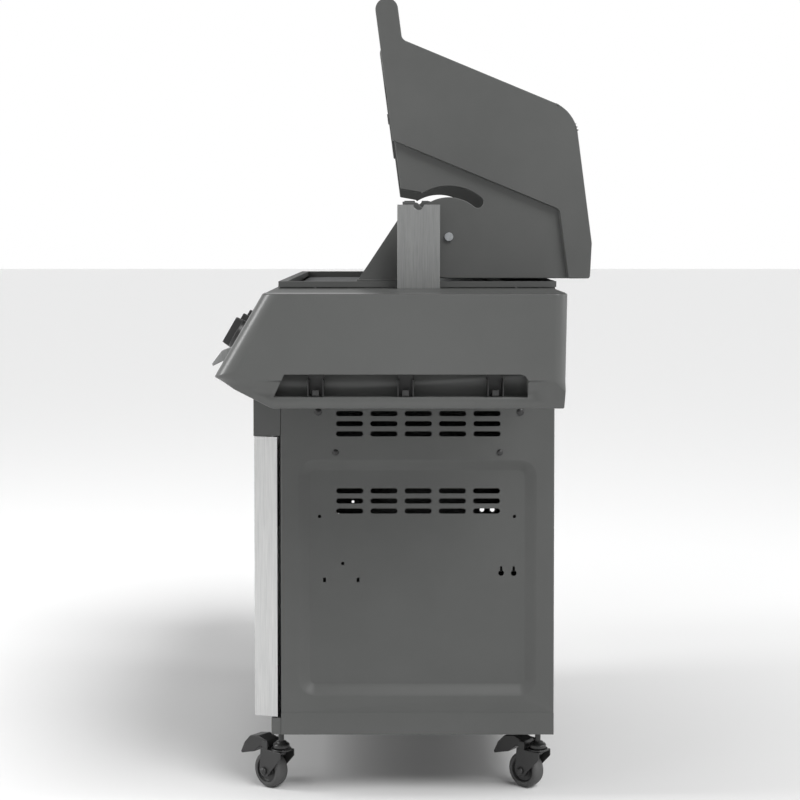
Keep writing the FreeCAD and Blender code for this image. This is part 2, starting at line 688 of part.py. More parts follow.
def fastener_heads():
    """Domed screws in the side panels and shelf bolts above them."""
    heads = []
    for side in (1, -1):
        for n, (y, z, radius) in enumerate((
            ("front_y + 96", "cabinet_top - 127", "5.5"),
            ("rear_y - 95.5", "cabinet_top - 127", "5.5"),
            ("front_y + 66", "cabinet_top - 56", "6.5"),
            ("rear_y - 60", "cabinet_top - 56", "6.5"),
        )):
            x = "half_width" if side > 0 else "-half_width - 3.5"
            heads.append(rod(f"head_{side}_{n}", radius, "3.5", (x, y, z), "x"))
    return group("panel_fasteners", *heads)


both_sides("side_panel", side_panel())
node("rear_panel", rear_panel())
node("base_shelf", base_shelf())
node("front_lower_rail", front_lower_rail())
node("door_header", door_header())
node("hinge_pins", hinge_pins())
node("panel_fasteners", fastener_heads())


# ---- Doors ------------------------------------------------------------------------------------

PULL_X = ("door_gap / 2 + pull_edge", "door_gap / 2 + pull_edge + pull_width")
PULL_Z = ("door_top - pull_below_top - pull_height", "door_top - pull_below_top")


def door():
    """Folded stainless pan, open at the back, its outer side leaning in towards the front."""
    free, hinge = "door_gap / 2", "half_width - door_gap"
    skin = prism(
        "door_skin",
        (
            (free, "door_rear"), (hinge, "door_rear"),
            (f"{hinge} - door_taper", "door_front"), (free, "door_front"),
        ),
        ("door_bottom", "door_top"),
        "across_z",
    )
    wall, lean = "sheet_wall", "door_taper / door_depth"
    hollow = prism(
        "door_hollow",
        (
            (f"{free} + {wall}", "door_rear + 1"),
            (f"{hinge} - {wall}", "door_rear + 1"),
            (f"{hinge} - {wall} - door_taper + {wall} * {lean}", f"door_front + {wall}"),
            (f"{free} + {wall}", f"door_front + {wall}"),
        ),
        (f"door_bottom + {wall}", f"door_top - {wall}"),
        "across_z",
    )
    pull_hole = box("pull_hole", PULL_X, ("door_front - 1", f"door_front + 2 * {wall}"), PULL_Z)
    pin_hole = rod(
        "door_pin_hole",
        "hinge_pin_radius + running_gap",
        "door_top - door_bottom + 2",
        ("door_axis_x", "door_axis_y", "door_bottom - 1"),
    )
    return cut("door", skin, fuse("door_cuts", hollow, pull_hole, pin_hole))


def door_pull():
    """Cup let into the door's front, with a rim that laps over the sheet."""
    lap, wall = "4", "sheet_wall"
    cup = box("pull_cup", PULL_X, ("door_front", "door_front + pull_depth"), PULL_Z)
    rim = box(
        "pull_rim",
        (f"{PULL_X[0]} - {lap}", f"{PULL_X[1]} + {lap}"),
        ("door_front - 1.5", "door_front"),
        (f"{PULL_Z[0]} - {lap}", f"{PULL_Z[1]} + {lap}"),
    )
    hollow = box(
        "pull_hollow",
        (f"{PULL_X[0]} + {wall}", f"{PULL_X[1]} - {wall}"),
        ("door_front - 3", f"door_front + pull_depth - {wall}"),
        (f"{PULL_Z[0]} + {wall}", f"{PULL_Z[1]} - {wall}"),
    )
    return cut("door_pull", fuse("pull_solid", cup, rim), hollow)


both_sides("door", door())
both_sides("door_pull", door_pull())


# ---- Firebox ----------------------------------------------------------------------------------

def taper(name, wall):
    """The firebox's sloping floor as a solid, less a wall all round."""
    solid = doc.addObject("Part::Wedge", name)
    bind(
        solid,
        Ymin="outlet_z",
        Ymax="funnel_top",
        Xmin=f"-outlet_width / 2 + {wall}",
        Xmax=f"outlet_width / 2 - {wall}",
        Zmin=f"-outlet_y - outlet_depth / 2 + {wall}",
        Zmax=f"-outlet_y + outlet_depth / 2 - {wall}",
        X2min=f"-half_width + {wall}",
        X2max=f"half_width - {wall}",
        Z2min=f"-opening_rear - firebox_wall + {wall}",
        Z2max=f"-front_y - {wall}",
    )
    return place(solid, axis=(1, 0, 0), angle="90")


def firebox():
    """Rim, outer skirt, the wall behind the cooking area and a sloping floor down to the outlet."""
    wall = "firebox_wall"
    under_rim = "rim_top - rim_height"
    rim = box("rim_plate", ("-rim_half", "rim_half"), ("front_y - 2", "rear_y + 1"), (under_rim, "rim_top"))
    skirt = box("skirt_outside", ACROSS, ("front_y", "rear_y"), ("cabinet_top", under_rim))
    hollow = box(
        "skirt_inside",
        (f"-half_width + {wall}", f"half_width - {wall}"),
        (f"front_y + {wall}", f"rear_y - {wall}"),
        ("cabinet_top - 1", under_rim),
    )
    back = box(
        "back_wall", (f"-half_width + {wall}", f"half_width - {wall}"),
        ("opening_rear", f"opening_rear + {wall}"), ("funnel_top", under_rim),
    )
    floor = cut("floor_shell", taper("floor_outside", "0"), taper("floor_inside", wall))
    shell = fuse("firebox_solid", rim, cut("skirt", skirt, hollow), back, floor, *ledges())
    opening = box(
        "cooking_opening",
        ("-half_width + firebox_wall", "half_width - firebox_wall"),
        ("opening_front", "opening_rear"),
        (f"{under_rim} - 1", "rim_top + 1"),
    )
    mouths = [
        rod(f"burner_mouth_{n}", "burner_radius", "3 * firebox_wall", (x, "front_y - 3", BURNER_Z), "y")
        for n, x in burner_rows()
    ]
    tray_way = box(
        "tray_way", ("-tray_width / 2 - 14", "tray_width / 2 + 14"),
        (f"rear_y - 2 * {wall}", "rear_y + 2"), ("cabinet_top - 1", "cabinet_top + 8"),
    )
    return cut("firebox", shell, group("firebox_cuts", opening, tray_way, *mouths))


def ledges():
    """Ledges along the front and back walls that the cooking grids and the flame tamers rest on."""
    shelves = []
    across = ("-half_width + firebox_wall / 2", "half_width - firebox_wall / 2")
    for name, top in (
        ("grid", "rim_top - grid_drop - grid_wall"),
        ("tamer", "rim_top - tamer_drop - tamer_height"),
    ):
        for end, along in (
            ("front", ("front_y + firebox_wall / 2", "opening_front + ledge_reach")),
            ("rear", ("opening_rear - ledge_reach", "opening_rear + firebox_wall / 2")),
        ):
            shelves.append(box(f"{name}_ledge_{end}", across, along, (f"{top} - firebox_wall", top)))
    return shelves


def burner_rows():
    """The burners' numbers and places across the grill, from the right."""
    return [(n + 1, f"{1.5 - n} * knob_pitch") for n in range(4)]


BURNER_Z = "rim_top - burner_drop"


def burner_tubes():
    """Stainless tubes from the valves to the back of the firebox, each with a closed rear end."""
    tubes = []
    for n, x in burner_rows():
        length = "opening_rear - (front_y - 12)"
        tube = rod(f"tube_{n}", "burner_radius", length, (x, "front_y - 12", BURNER_Z), "y")
        bore = rod(f"tube_bore_{n}", "burner_radius - 1.2", "60", (x, "front_y - 13", BURNER_Z), "y")
        tubes.append(cut(f"burner_{n}", tube, bore))
    return group("burner_tubes", *tubes)


def flame_tamers():
    """Folded roofs over the burners, from the front wall to the back wall."""
    roofs = []
    ridge = "rim_top - tamer_drop"
    for n, x in burner_rows():
        sketch = doc.addObject("Sketcher::SketchObject", f"tamer_sketch_{n}")
        sketch.Placement = Placement(Vector(), Rotation(Vector(1, 0, 0), 90))
        bind(sketch, Placement__Base__y="front_y + firebox_wall")
        half = "tamer_width / 2"
        outline(sketch, ((f"{x} - {half}", f"{ridge} - tamer_height"), (x, ridge),
                         (f"{x} + {half}", f"{ridge} - tamer_height"),
                         (f"{x} + {half} - 3", f"{ridge} - tamer_height"), (x, f"{ridge} - 2"),
                         (f"{x} - {half} + 3", f"{ridge} - tamer_height")))
        roof = doc.addObject("Part::Extrusion", f"tamer_{n}")
        roof.Base = sketch
        roof.DirMode = "Custom"
        roof.Dir = Vector(0, 1, 0)
        roof.Solid = True
        bind(roof, LengthFwd="opening_rear - (front_y + firebox_wall)")
        roofs.append(roof)
    return group("flame_tamers", *roofs)


def cooking_grid():
    """Cast grid over the right half of the firebox, its slots running front to back."""
    body = doc.addObject("PartDesign::Body", "cooking_grid")
    plate = body_sketch(body, "rim_top - grid_drop - grid_wall", "XY_Plane")
    left, right = "grid_gap / 2", "half_width - firebox_wall - grid_gap"
    front, rear = "opening_front + grid_gap", "opening_rear - grid_gap"
    outline(plate, ((left, front), (right, front), (right, rear), (left, rear)))
    feature(body, "Pad", plate, "grid_wall", towards_plus=True)
    slot = body_sketch(body, "rim_top - grid_drop", "XY_Plane")
    bar = "grid_pitch - grid_slot"
    near, far = f"{left} + 2 * ({bar})", f"{left} + 2 * ({bar}) + grid_slot"
    middle = f"({front} + {rear}) / 2"
    for low, high in ((f"{front} + 12", f"{middle} - 5"), (f"{middle} + 5", f"{rear} - 12")):
        outline(slot, ((near, low), (far, low), (far, high), (near, high)))
    first = feature(body, "Pocket", slot, "grid_wall", towards_plus=False)
    row = body.newObject("PartDesign::LinearPattern", "grid_slots")
    row.Originals = [first]
    row.Direction = (slot, ["H_Axis"])
    count = int((number(right) - number(left) - 4 * number(bar)) / number("grid_pitch"))
    row.Occurrences = count
    bind(row, Length=f"grid_pitch * {count - 1}")
    body.Tip = row
    return body


def hinge_ear():
    """Plate on the rim that carries the lid's pivot, with a notch for the spit."""
    foot = "rim_top"
    toe = "pivot_y - 159"
    plate = prism(
        "ear_plate",
        (
            (toe, foot), ("pivot_y - 45", foot),
            ("pivot_y - 32", "pivot_z - 56"), ("pivot_y + 8", "pivot_z - 56"),
            ("pivot_y + 34", "pivot_z - 34"), ("pivot_y + 42", "pivot_z + 14"),
            ("pivot_y + 20", "pivot_z + 50"),
            ("spit_y + 16", "spit_z + 5"), ("spit_y - 24", "spit_z + 5"), ("pivot_y - 90", "pivot_z + 27"),
        ),
        ("ear_x - ear_wall", "ear_x"),
    )
    near = "ear_x - 2 * ear_wall"
    pin = rod("ear_pin_hole", "pivot_pin_radius", "3 * ear_wall", (near, "pivot_y", "pivot_z"), "x")
    notch = rod("ear_notch", "spit_notch - 3", "3 * ear_wall", (near, "spit_y", "spit_z + 5"), "x")
    foot_flange = box("ear_foot", ("ear_x", "ear_x + 3.5"), (toe, "pivot_y - 48"), (foot, f"{foot} + 3"))
    return cut("ear", fuse("ear_solid", plate, foot_flange), group("ear_cuts", pin, notch))


def warming_rack():
    """Wire rack between the hinge ears."""
    front, rear, z = "pivot_y - 84", "pivot_y + 30", "pivot_z + 16"
    reach = "ear_x - ear_wall"
    wires = []
    for n in range(7):
        y = f"{front} + ({rear} - ({front})) * {n} / 6"
        wires.append(rod(f"rack_wire_{n}", "2.5", f"2 * ({reach})", (f"-({reach})", y, z), "x"))
    cross = []
    for n in (-1, 0, 1):
        start = (f"{n} * (half_width - 60)", f"{front} - 3", z)
        cross.append(rod(f"rack_cross_{n}", "2.5", f"{rear} - ({front}) + 6", start, "y"))
    return fuse("warming_rack", *wires, *cross)


def tray_runners():
    """Angles that the grease tray slides on, from behind the outlet to the rear panel."""
    angles = []
    run = ("tray_front", "rear_y - 2 * sheet_wall")
    for side in (1, -1):
        inner, middle, outer = "tray_width / 2 - 10", "tray_width / 2 + 2", "tray_width / 2 + 4"
        leg = (inner, outer) if side > 0 else (f"-({outer})", f"-({inner})")
        web = (middle, outer) if side > 0 else (f"-({outer})", f"-({middle})")
        under = "tray_bottom - part_gap - 2"
        ledge = box(f"runner_ledge_{side}", leg, run, (under, "tray_bottom - part_gap"))
        side_web = box(f"runner_web_{side}", web, run, (under, "tray_top + 4"))
        strap_y = ("outlet_y", "outlet_y + 20")
        strap = box(f"runner_strap_{side}", web, strap_y, ("tray_top", "outlet_z + 20"))
        angles.append(fuse(f"runner_{side}", ledge, side_web, strap))
    return group("tray_runners", *angles)


def grease_tray():
    half, wall = "tray_width / 2", "sheet_wall"
    along, upright = ("tray_front", "tray_rear"), ("tray_bottom", "tray_top")
    outside = box("tray_outside", (f"-{half}", half), along, upright)
    inside = box(
        "tray_inside", (f"-{half} + {wall}", f"{half} - {wall}"),
        (f"tray_front + {wall}", f"tray_rear - {wall}"), (f"tray_bottom + {wall}", "tray_top + 1"),
    )
    lip = box("tray_lip", ("-50", "50"), ("tray_rear", "tray_rear + 16"), (f"tray_top - {wall}", "tray_top"))
    return fuse("grease_tray", cut("tray_pan", outside, inside), lip)


node("firebox", firebox())
node("hinge_ears", with_twins("hinge_ears", [hinge_ear()]))
node("burner_tubes", burner_tubes())
node("flame_tamers", flame_tamers())
both_sides("cooking_grid", cooking_grid())
node("warming_rack", warming_rack())
node("tray_runners", tray_runners())
node("grease_tray", grease_tray())


# ---- Gas controls -----------------------------------------------------------------------------
# Each is built upright, on the panel's surface at z = 0, and leans back with the panel.

def on_panel(thing, x):
    """Stand a piece on the sloping panel at a burner's place across the grill."""
    return place(thing, x, "knob_y", "knob_z", axis=(1, 0, 0), angle="console_slope")


def manifold():
    depth = "sheet_wall + valve_length + 4 + manifold_radius"
    y, z = f"knob_y + ({depth}) * slope_sin", f"knob_z - ({depth}) * slope_cos"
    pipe = rod("manifold_pipe", "manifold_radius", "4 * knob_pitch", ("-1.7 * knob_pitch - 30", y, z), "x")
    inlet_x = "2.1 * knob_pitch - 1"
    inlet = rod("manifold_inlet", "manifold_radius - 2", "inlet_length", (inlet_x, y, f"{z} - inlet_length"))
    return fuse("manifold", pipe, inlet)


def control_panel():
    """Folded sheet: a lip on the firebox, the sloping face and a lip back over the doors."""
    toe_y = "console_y - panel_length * slope_cos"
    toe_z = "shelf_top - panel_length * slope_sin"
    sheet = folded_sheet(
        "panel_sheet",
        (("front_y - 2", "shelf_top"), ("console_y", "shelf_top"), (toe_y, toe_z), ("front_y - 3", toe_z)),
        ("-rim_half", "rim_half"),
        "-sheet_wall",
    )
    back = "knob_y + 10 * slope_sin", "knob_z - 10 * slope_cos"
    holes = [
        place(rod(f"stem_way_{n}", "stem_radius + 3", "20"), x, *back, axis=(1, 0, 0), angle="console_slope")
        for n, x in burner_rows()
    ]
    return cut("control_panel", sheet, group("stem_ways", *holes))


def gas_valve(n, x):
    half = "valve_width / 2"
    body = box(
        f"valve_block_{n}", (f"-{half}", half), (f"-{half}", half),
        ("-sheet_wall - valve_length", "-sheet_wall"),
    )
    nipple_start, bore_start = ("0", "0", "-sheet_wall - valve_length - 5"), ("0", "0", "-valve_length + 2")
    nipple = rod(f"valve_nipple_{n}", "manifold_radius - 4", "6", nipple_start)
    bore = rod(f"valve_bore_{n}", "stem_radius + running_gap", "valve_length - 3", bore_start)
    return on_panel(cut(f"valve_{n}", fuse(f"valve_solid_{n}", body, nipple), bore), x)


def knob_bezel(n, x):
    ring = rod(f"bezel_ring_{n}", "bezel_radius", "bezel_height")
    eye = rod(f"bezel_eye_{n}", "knob_radius - 12", "bezel_height + 2", ("0", "0", "-1"))
    return on_panel(cut(f"bezel_{n}", ring, eye), x)


def valve_stem(n, x):
    reach = "knob_front - knob_length + 14"
    start = "-sheet_wall - valve_length + 12"
    shank = rod(f"stem_rod_{n}", "stem_radius", f"{reach} - ({start})", ("0", "0", start))
    return on_panel(group(f"valve_stem_{n}", shank), x)


def knob(n, x):
    """Round knob with a grip bar across its face, bored for the stem."""
    low = "knob_front - knob_length"
    skirt = rod(f"knob_skirt_{n}", "knob_radius", "knob_length * 0.4", ("0", "0", low))
    boss = doc.addObject("Part::Cone", f"knob_boss_{n}")
    bind(boss, Radius1="knob_radius", Radius2="knob_radius - 2", Height="knob_length * 0.6")
    place(boss, "0", "0", f"{low} + knob_length * 0.4")
    scallops = [
        box(
            f"knob_scallop_{n}_{side}",
            ("8", "knob_radius + 5") if side > 0 else ("-knob_radius - 5", "-8"),
            ("-knob_radius", "knob_radius"),
            (f"{low} + knob_length * 0.55", "knob_front + 1"),
        )
        for side in (1, -1)
    ]
    bore = rod(f"knob_bore_{n}", "stem_radius + running_gap", "14 + part_gap + 1", ("0", "0", f"{low} - 1"))
    cuts = group(f"knob_cuts_{n}", bore, *scallops)
    return on_panel(cut(f"knob_{n}", fuse(f"knob_solid_{n}", skirt, boss), cuts), x)


node("manifold", manifold())
node("control_panel", control_panel())
node("gas_valves", group("gas_valves", *[gas_valve(n, x) for n, x in burner_rows()]))
node("knob_bezels", group("knob_bezels", *[knob_bezel(n, x) for n, x in burner_rows()]))
for n, x in burner_rows():
    node(f"valve_stem_{n}", valve_stem(n, x))
    node(f"knob_{n}", knob(n, x))


# ---- Side shelves -----------------------------------------------------------------------------

def side_shelf():
    """Folded steel top with a rear skirt and a sloping front."""
    toe_y = "console_y - fascia_length * slope_cos"
    toe_z = "shelf_top - fascia_length * slope_sin"
    return folded_sheet(
        "shelf_sheet",
        (("shelf_rear", "shelf_top - shelf_skirt"), ("shelf_rear", "shelf_top"), ("console_y", "shelf_top"),
         (toe_y, toe_z)),
        ("shelf_inner", "cap_inner"),
        "-sheet_wall",
    )


CAP_TOE_Y = "console_y - fascia_length * slope_cos"
CAP_TOE_Z = "shelf_top - fascia_length * slope_sin"
CAP_BOTTOM = "shelf_top - cap_height"
POCKET_FRONT = "front_y + 5"


def shelf_end_cap():
    """Moulded end of a shelf: hollow behind, with a long pocket in its outer face for tool hooks."""
    body = doc.addObject("PartDesign::Body", "shelf_cap")
    profile = body_sketch(body, "cap_inner")
    heel = "front_y + 4"
    corners = (
        ("console_y", "shelf_top"), (CAP_TOE_Y, CAP_TOE_Z),
        (heel, CAP_BOTTOM), ("shelf_rear - 4", CAP_BOTTOM), ("shelf_rear", "shelf_top"),
    )
    outline(profile, corners)
    feature(body, "Pad", profile, "cap_width", towards_plus=True)
    for corner in corners:
        round_corner(body, corner, "cap_round + 1")
    soften_face(body, "shelf_outer", "cap_round")

    wall = "cap_wall"
    pocket_top = f"{CAP_BOTTOM} + pocket_lip + pocket_height"
    upper = body_sketch(body, "cap_inner")
    floor = f"{pocket_top} + {wall}"
    lean = f"(shelf_top - ({floor})) * slope_cos / slope_sin"
    thick = f"{wall} / slope_sin"
    outline(upper, (
        (f"console_y + {thick} - {wall} * slope_cos / slope_sin", f"shelf_top - {wall}"),
        (f"console_y - {lean} + {thick}", floor),
        (f"shelf_rear - {wall}", floor),
        (f"shelf_rear - {wall}", f"shelf_top - {wall}"),
    ))
    feature(body, "Pocket", upper, f"cap_width - {wall}", towards_plus=True)
    lower = body_sketch(body, "cap_inner")
    outline(lower, (
        (POCKET_FRONT, f"{CAP_BOTTOM} + {wall}"), (f"shelf_rear - 2 * {wall}", f"{CAP_BOTTOM} + {wall}"),
        (f"shelf_rear - 2 * {wall}", pocket_top), (POCKET_FRONT, pocket_top),
    ))
    feature(body, "Pocket", lower, f"cap_width - pocket_depth - {wall}", towards_plus=True)
    pocket = body_sketch(body, "shelf_outer")
    low, rear = f"{CAP_BOTTOM} + pocket_lip", f"{POCKET_FRONT} + pocket_length"
    outline(pocket, (
        (POCKET_FRONT, low), (rear, low), (rear, f"{pocket_top} - 8"), (f"{rear} - 10", pocket_top),
        (f"{POCKET_FRONT} + 18", pocket_top),
    ))
    feature(body, "Pocket", pocket, "pocket_depth", towards_plus=False)
    return body


def tool_hooks():
    """Three plates on the back of the hook pocket, each with a tongue turned up at its end."""
    hooks = []
    back = "shelf_outer - pocket_depth"
    middle = f"{POCKET_FRONT} + pocket_length / 2 + 9"
    low = f"{CAP_BOTTOM} + pocket_lip"
    for n in (-1, 0, 1):
        y = f"{middle} + {n} * hook_pitch"
        across = (f"{y} - hook_width / 2", f"{y} + hook_width / 2")
        plate = box(f"hook_plate_{n + 1}", (back, f"{back} + 2"), across, (low, f"{low} + pocket_height - 5"))
        tongue = box(f"hook_tongue_{n + 1}", (back, f"{back} + 22"), (f"{y} - 6", f"{y} + 6"),
                     (f"{low} + 8", f"{low} + 10.5"))
        tip = box(f"hook_tip_{n + 1}", (f"{back} + 19.5", f"{back} + 22"), (f"{y} - 6", f"{y} + 6"),
                  (f"{low} + 8", f"{low} + 22"))
        hooks.append(fuse(f"hook_{n + 1}", plate, tongue, tip))
    return hooks


def bottle_opener():
    """Pressed opener on the sloping end of the right shelf."""
    def down(along, out):
        y = f"console_y - ({along}) * slope_cos - ({out}) * slope_sin"
        return y, f"shelf_top - ({along}) * slope_sin + ({out}) * slope_cos"

    profile = ((104, 0), (148, 0), (148, 3), (128, 3), (146, 15), (143, 18), (118, 15), (104, 3))
    return prism("bottle_opener", [down(*spot) for spot in profile], ("cap_inner - 44", "cap_inner - 4"))


def spit_bracket():
    """Channel that stands on the shelf beside the lid, with a notch for the spit."""
    outer = "shelf_inner + spit_bracket_out"
    front, rear = "spit_y - spit_bracket_width / 2", "spit_y + spit_bracket_width / 2"
    upright = ("shelf_top", "shelf_top + spit_bracket_height")
    channel = box("bracket_outside", (f"{outer} - spit_bracket_depth", outer), (front, rear), upright)
    hollow = box(
        "bracket_inside", (f"{outer} - spit_bracket_depth - 1", f"{outer} - sheet_wall"),
        (f"{front} + sheet_wall", f"{rear} - sheet_wall"),
        ("shelf_top + 3", "shelf_top + spit_bracket_height + 1"),
    )
    notch = rod("bracket_notch", "spit_notch", "spit_bracket_depth * 2",
                (f"{outer} - 1.5 * spit_bracket_depth", "spit_y", "shelf_top + spit_bracket_height"), "x")
    clip = box(
        "bracket_clip",
        (f"{outer} - spit_bracket_depth - 1", f"{outer} - 6"),
        (f"{front} - 1", f"{rear} + 1"),
        ("shelf_top + spit_bracket_height - 34", "shelf_top + spit_bracket_height + 1"),
    )
    return cut("spit_bracket", channel, group("bracket_cuts", hollow, notch, clip))


def shelf_arms():
    """Pressed arms that carry the right shelf from the firebox."""
    arms = []
    under = "shelf_top - sheet_wall"
    for n, y in enumerate(("front_y + 60", "rear_y - 70")):
        sketch = doc.addObject("Sketcher::SketchObject", f"arm_sketch_{n}")
        sketch.Placement = Placement(Vector(), Rotation(Vector(1, 0, 0), 90))
        bind(sketch, Placement__Base__y=y)
        root = "half_width"
        outline(sketch, ((root, under), (root, f"{under} - 120"), (f"{root} + 30", f"{under} - 120"),
                         ("cap_inner", f"{under} - 40"), ("cap_inner", under),
                         ("shelf_inner", under), ("shelf_inner", "rim_top - rim_height"),
                         (root, "rim_top - rim_height")))
        arm = doc.addObject("Part::Extrusion", f"arm_{n}")
        arm.Base = sketch
        arm.DirMode = "Custom"
        arm.Dir = Vector(0, 1, 0)
        arm.Solid = True
        bind(arm, LengthFwd="3")
        arms.append(arm)
    return arms


both_sides("side_shelf", side_shelf())
both_sides("shelf_end_cap", shelf_end_cap())
node("tool_hooks", with_twins("tool_hooks", tool_hooks()))
node("bottle_opener", bottle_opener())
node("spit_brackets", with_twins("spit_brackets", [spit_bracket()]))
node("shelf_arms", with_twins("shelf_arms", shelf_arms()))


# ---- Lid --------------------------------------------------------------------------------------
# Built closed, about its pivot at y = 0 and z = 0, then swung open.

def on_pivot(thing):
    return place(thing, "0", "pivot_y", "pivot_z", axis=(1, 0, 0), angle="-lid_swing")


REAR_TOP = "lid_tail / tail_cos + (lid_rise - 11) * tail_tan"
PLATE_RIM = "-lid_tail"
TAIL_CORNER = "lid_tail * tan(lid_swing / 2 * 1 deg)"
LIP_Z = "lid_rise - 48"


def lid_end():
    """Lid end: a thin plate behind, thick along the front and top, with the handle's bracket."""
    body = doc.addObject("PartDesign::Body", "lid_end_body")
    prong_end = "lid_front - prong_length - prong_height / 2"
    rear_at_lip = f"lid_tail / tail_cos + ({LIP_Z}) * tail_tan"
    lip_foot = "lid_crown_y + 32 - (lid_rise - lid_rim) / lid_tan"
    lip_top = f"{lip_foot} + ({LIP_Z} - lid_rim) / lid_tan"
    band = body_sketch(body, "lid_end_x")
    outline(band, (
        (prong_end, "lid_rim"), (lip_foot + " + 160", "lid_rim"),
        (f"{lip_top} + 160", LIP_Z), (rear_at_lip, LIP_Z),
        (REAR_TOP, "lid_rise - 11"), (f"{REAR_TOP} - 60", "lid_rise"), ("lid_crown_y", "lid_rise"),
        ("lid_front", "prong_top"), (prong_end, "prong_top"),
    ))
    feature(body, "Pad", band, "lid_band", towards_plus=True)
    plate = body_sketch(body, "lid_end_x")
    outline(plate, (
        (f"{lip_foot} + 140", "lid_rim"), (f"{lip_foot} + 160", PLATE_RIM), (TAIL_CORNER, PLATE_RIM),
        (REAR_TOP, "lid_rise - 11"), (f"{REAR_TOP} - 60", "lid_rise"), ("lid_crown_y + 60", "lid_rise"),
        (f"{lip_foot} + 100", "0"),
    ))
    feature(body, "Pad", plate, "lid_end_wall", towards_plus=True)
    round_corner(body, ("lid_crown_y", "lid_rise"), "lid_crown")
    round_corner(body, (TAIL_CORNER, PLATE_RIM), "lid_tail - 0.5")
    round_corner(body, ("lid_front", "prong_top"), "12")
    round_corner(body, (prong_end, "lid_rim"), "prong_height / 2 - 0.5")
    round_corner(body, (prong_end, "prong_top"), "prong_height / 2 - 0.5")
    round_corner(body, (f"{lip_top} + 160", LIP_Z), "12")
    round_corner(body, (REAR_TOP, "lid_rise - 11"), "5")
    soften_face(body, "lid_end_x + lid_band", "1.5")
    reach = "spit_radius + spit_slot / 2"
    ring = doc.addObject("Part::Cylinder", "slot_ring")
    bind(ring, Radius=reach, Height="3 * lid_band", Angle="lid_swing")
    place(ring, "0", "0", "0", angle="spit_angle")
    core = rod("slot_core", "spit_radius - spit_slot / 2", "5 * lid_band", ("0", "0", "-lid_band"))
    tip = rod(
        "slot_tip", "spit_slot / 2", "3 * lid_band",
        ("spit_radius * cos(spit_angle * 1 deg)", "spit_radius * sin(spit_angle * 1 deg)", "0"),
    )
    mouth = prism(
        "slot_mouth",
        (
            ("-spit_radius + 14", "-38"), ("-spit_radius + 6", "lid_rim - 1"),
            ("-spit_radius - 16", "lid_rim - 1"), ("-spit_radius - 4", "-38"),
        ),
        ("0", "3 * lid_band"),
        "across_z",
    )
    slot = fuse("spit_slot_tool", cut("slot_sector", ring, core), tip, mouth)
    place(slot, "lid_end_x - lid_band", "0", "0", axis=(1, 1, 1), angle="120")
    pin_hole = rod("lid_pin_hole", "pivot_pin_radius + running_gap", "4 * lid_band",
                   ("lid_end_x - lid_band", "0", "0"), "x")
    return on_pivot(cut("lid_end", body, group("lid_end_cuts", slot, pin_hole)))


def lid_skin():
    """One folded sheet: front lip, sloping front, top and back."""
    front_y = "lid_front + skin_inset / sin(lid_slope * 1 deg)"
    top = "lid_rise - skin_inset"
    run = f"({top} - prong_top) / lid_tan"
    sheet = folded_sheet(
        "lid_sheet",
        (
            (front_y, "lid_rim"), (front_y, "prong_top"),
            (f"{front_y} + {run} - 24", f"{top} - 24 * lid_tan"), (f"{front_y} + {run} - 6", f"{top} - 12"),
            (f"{front_y} + {run} + 26", top),
            (f"{REAR_TOP} - 62", top), (f"{REAR_TOP} - skin_inset * tail_tan", "lid_rise - 11 - skin_inset"),
            ("lid_tail / tail_cos - 25 * tail_tan", "-25"),
        ),
        ("-lid_end_x", "lid_end_x"),
        "sheet_wall",
    )
    return on_pivot(cut("lid_skin", sheet, dial_probe("probe_hole", "running_gap")))


def dial_place(inward):
    """A place on the axis of the dial, so far in from its seat on the lid's front."""
    y = "lid_front + skin_inset / sin(lid_slope * 1 deg) + dial_along * (lid_rise - prong_top) / lid_tan"
    z = "prong_top + dial_along * (lid_rise - prong_top)"
    return f"{y} + ({inward}) * sin(lid_slope * 1 deg)", f"{z} - ({inward}) * cos(lid_slope * 1 deg)"


def dial_probe(name, clearance):
    probe = rod(name, f"3 + {clearance}", "60")
    return place(probe, "0", *dial_place("60"), axis=(1, 0, 0), angle="lid_slope")


def lid_handle():
    bar = rod("handle_bar", "handle_radius", "2 * lid_end_x", ("-lid_end_x", "handle_y", "handle_z"), "x")
    return on_pivot(group("lid_handle", bar))


def thermometer():
    """Dial on the middle of the lid's front."""
    case = rod("dial_case", "dial_radius", "8")
    place(case, "0", *dial_place("0"), axis=(1, 0, 0), angle="lid_slope")
    return on_pivot(fuse("lid_thermometer", case, dial_probe("dial_probe", "0")))


def lid_bumpers():
    """Rubber pads that the lid's ends land on."""
    pads = [
        box(
            f"bumper_{side}", ("lid_end_x + 1", "rim_half") if side > 0 else ("-rim_half", "-lid_end_x - 1"),
            ("lid_front + 74", "lid_front + 96"), ("lid_rim - rim_gap + part_gap", "lid_rim"),
        )
        for side in (1, -1)
    ]
    return on_pivot(group("lid_bumpers", *pads))


both_sides("lid_end", lid_end())
node("lid_skin", lid_skin())
node("lid_handle", lid_handle())
node("lid_thermometer", thermometer())
node("lid_bumpers", lid_bumpers())


# ---- Casters ----------------------------------------------------------------------------------
# Each is built about its stem at x = 0 and y = 0, trailing towards -Y, then swung round.

def swung(thing, x, y):
    return place(thing, x, y, "0", angle="caster_yaw")


def caster_stems():
    """Threaded stems with their nuts, bearing cups and riveted-over ends."""
    stems = []
    for n, x, y in caster_corners():
        reach = "caster_height + gusset_wall - (fork_top - 8)"
        shank = rod(f"stem_{n}", "caster_stem_radius", reach, (x, y, "fork_top - 8"))
        collar = rod(f"stem_nut_{n}", "9", "5", (x, y, "caster_height - 5"))
        cup = rod(f"stem_cup_{n}", "15", "12", (x, y, "fork_top + part_gap"))
        head = rod(f"stem_head_{n}", "9", "4", (x, y, "fork_top - fork_wall - part_gap - 4"))
        stems.append(fuse(f"caster_stem_{n}", shank, collar, cup, head))
    return group("caster_stems", *stems)


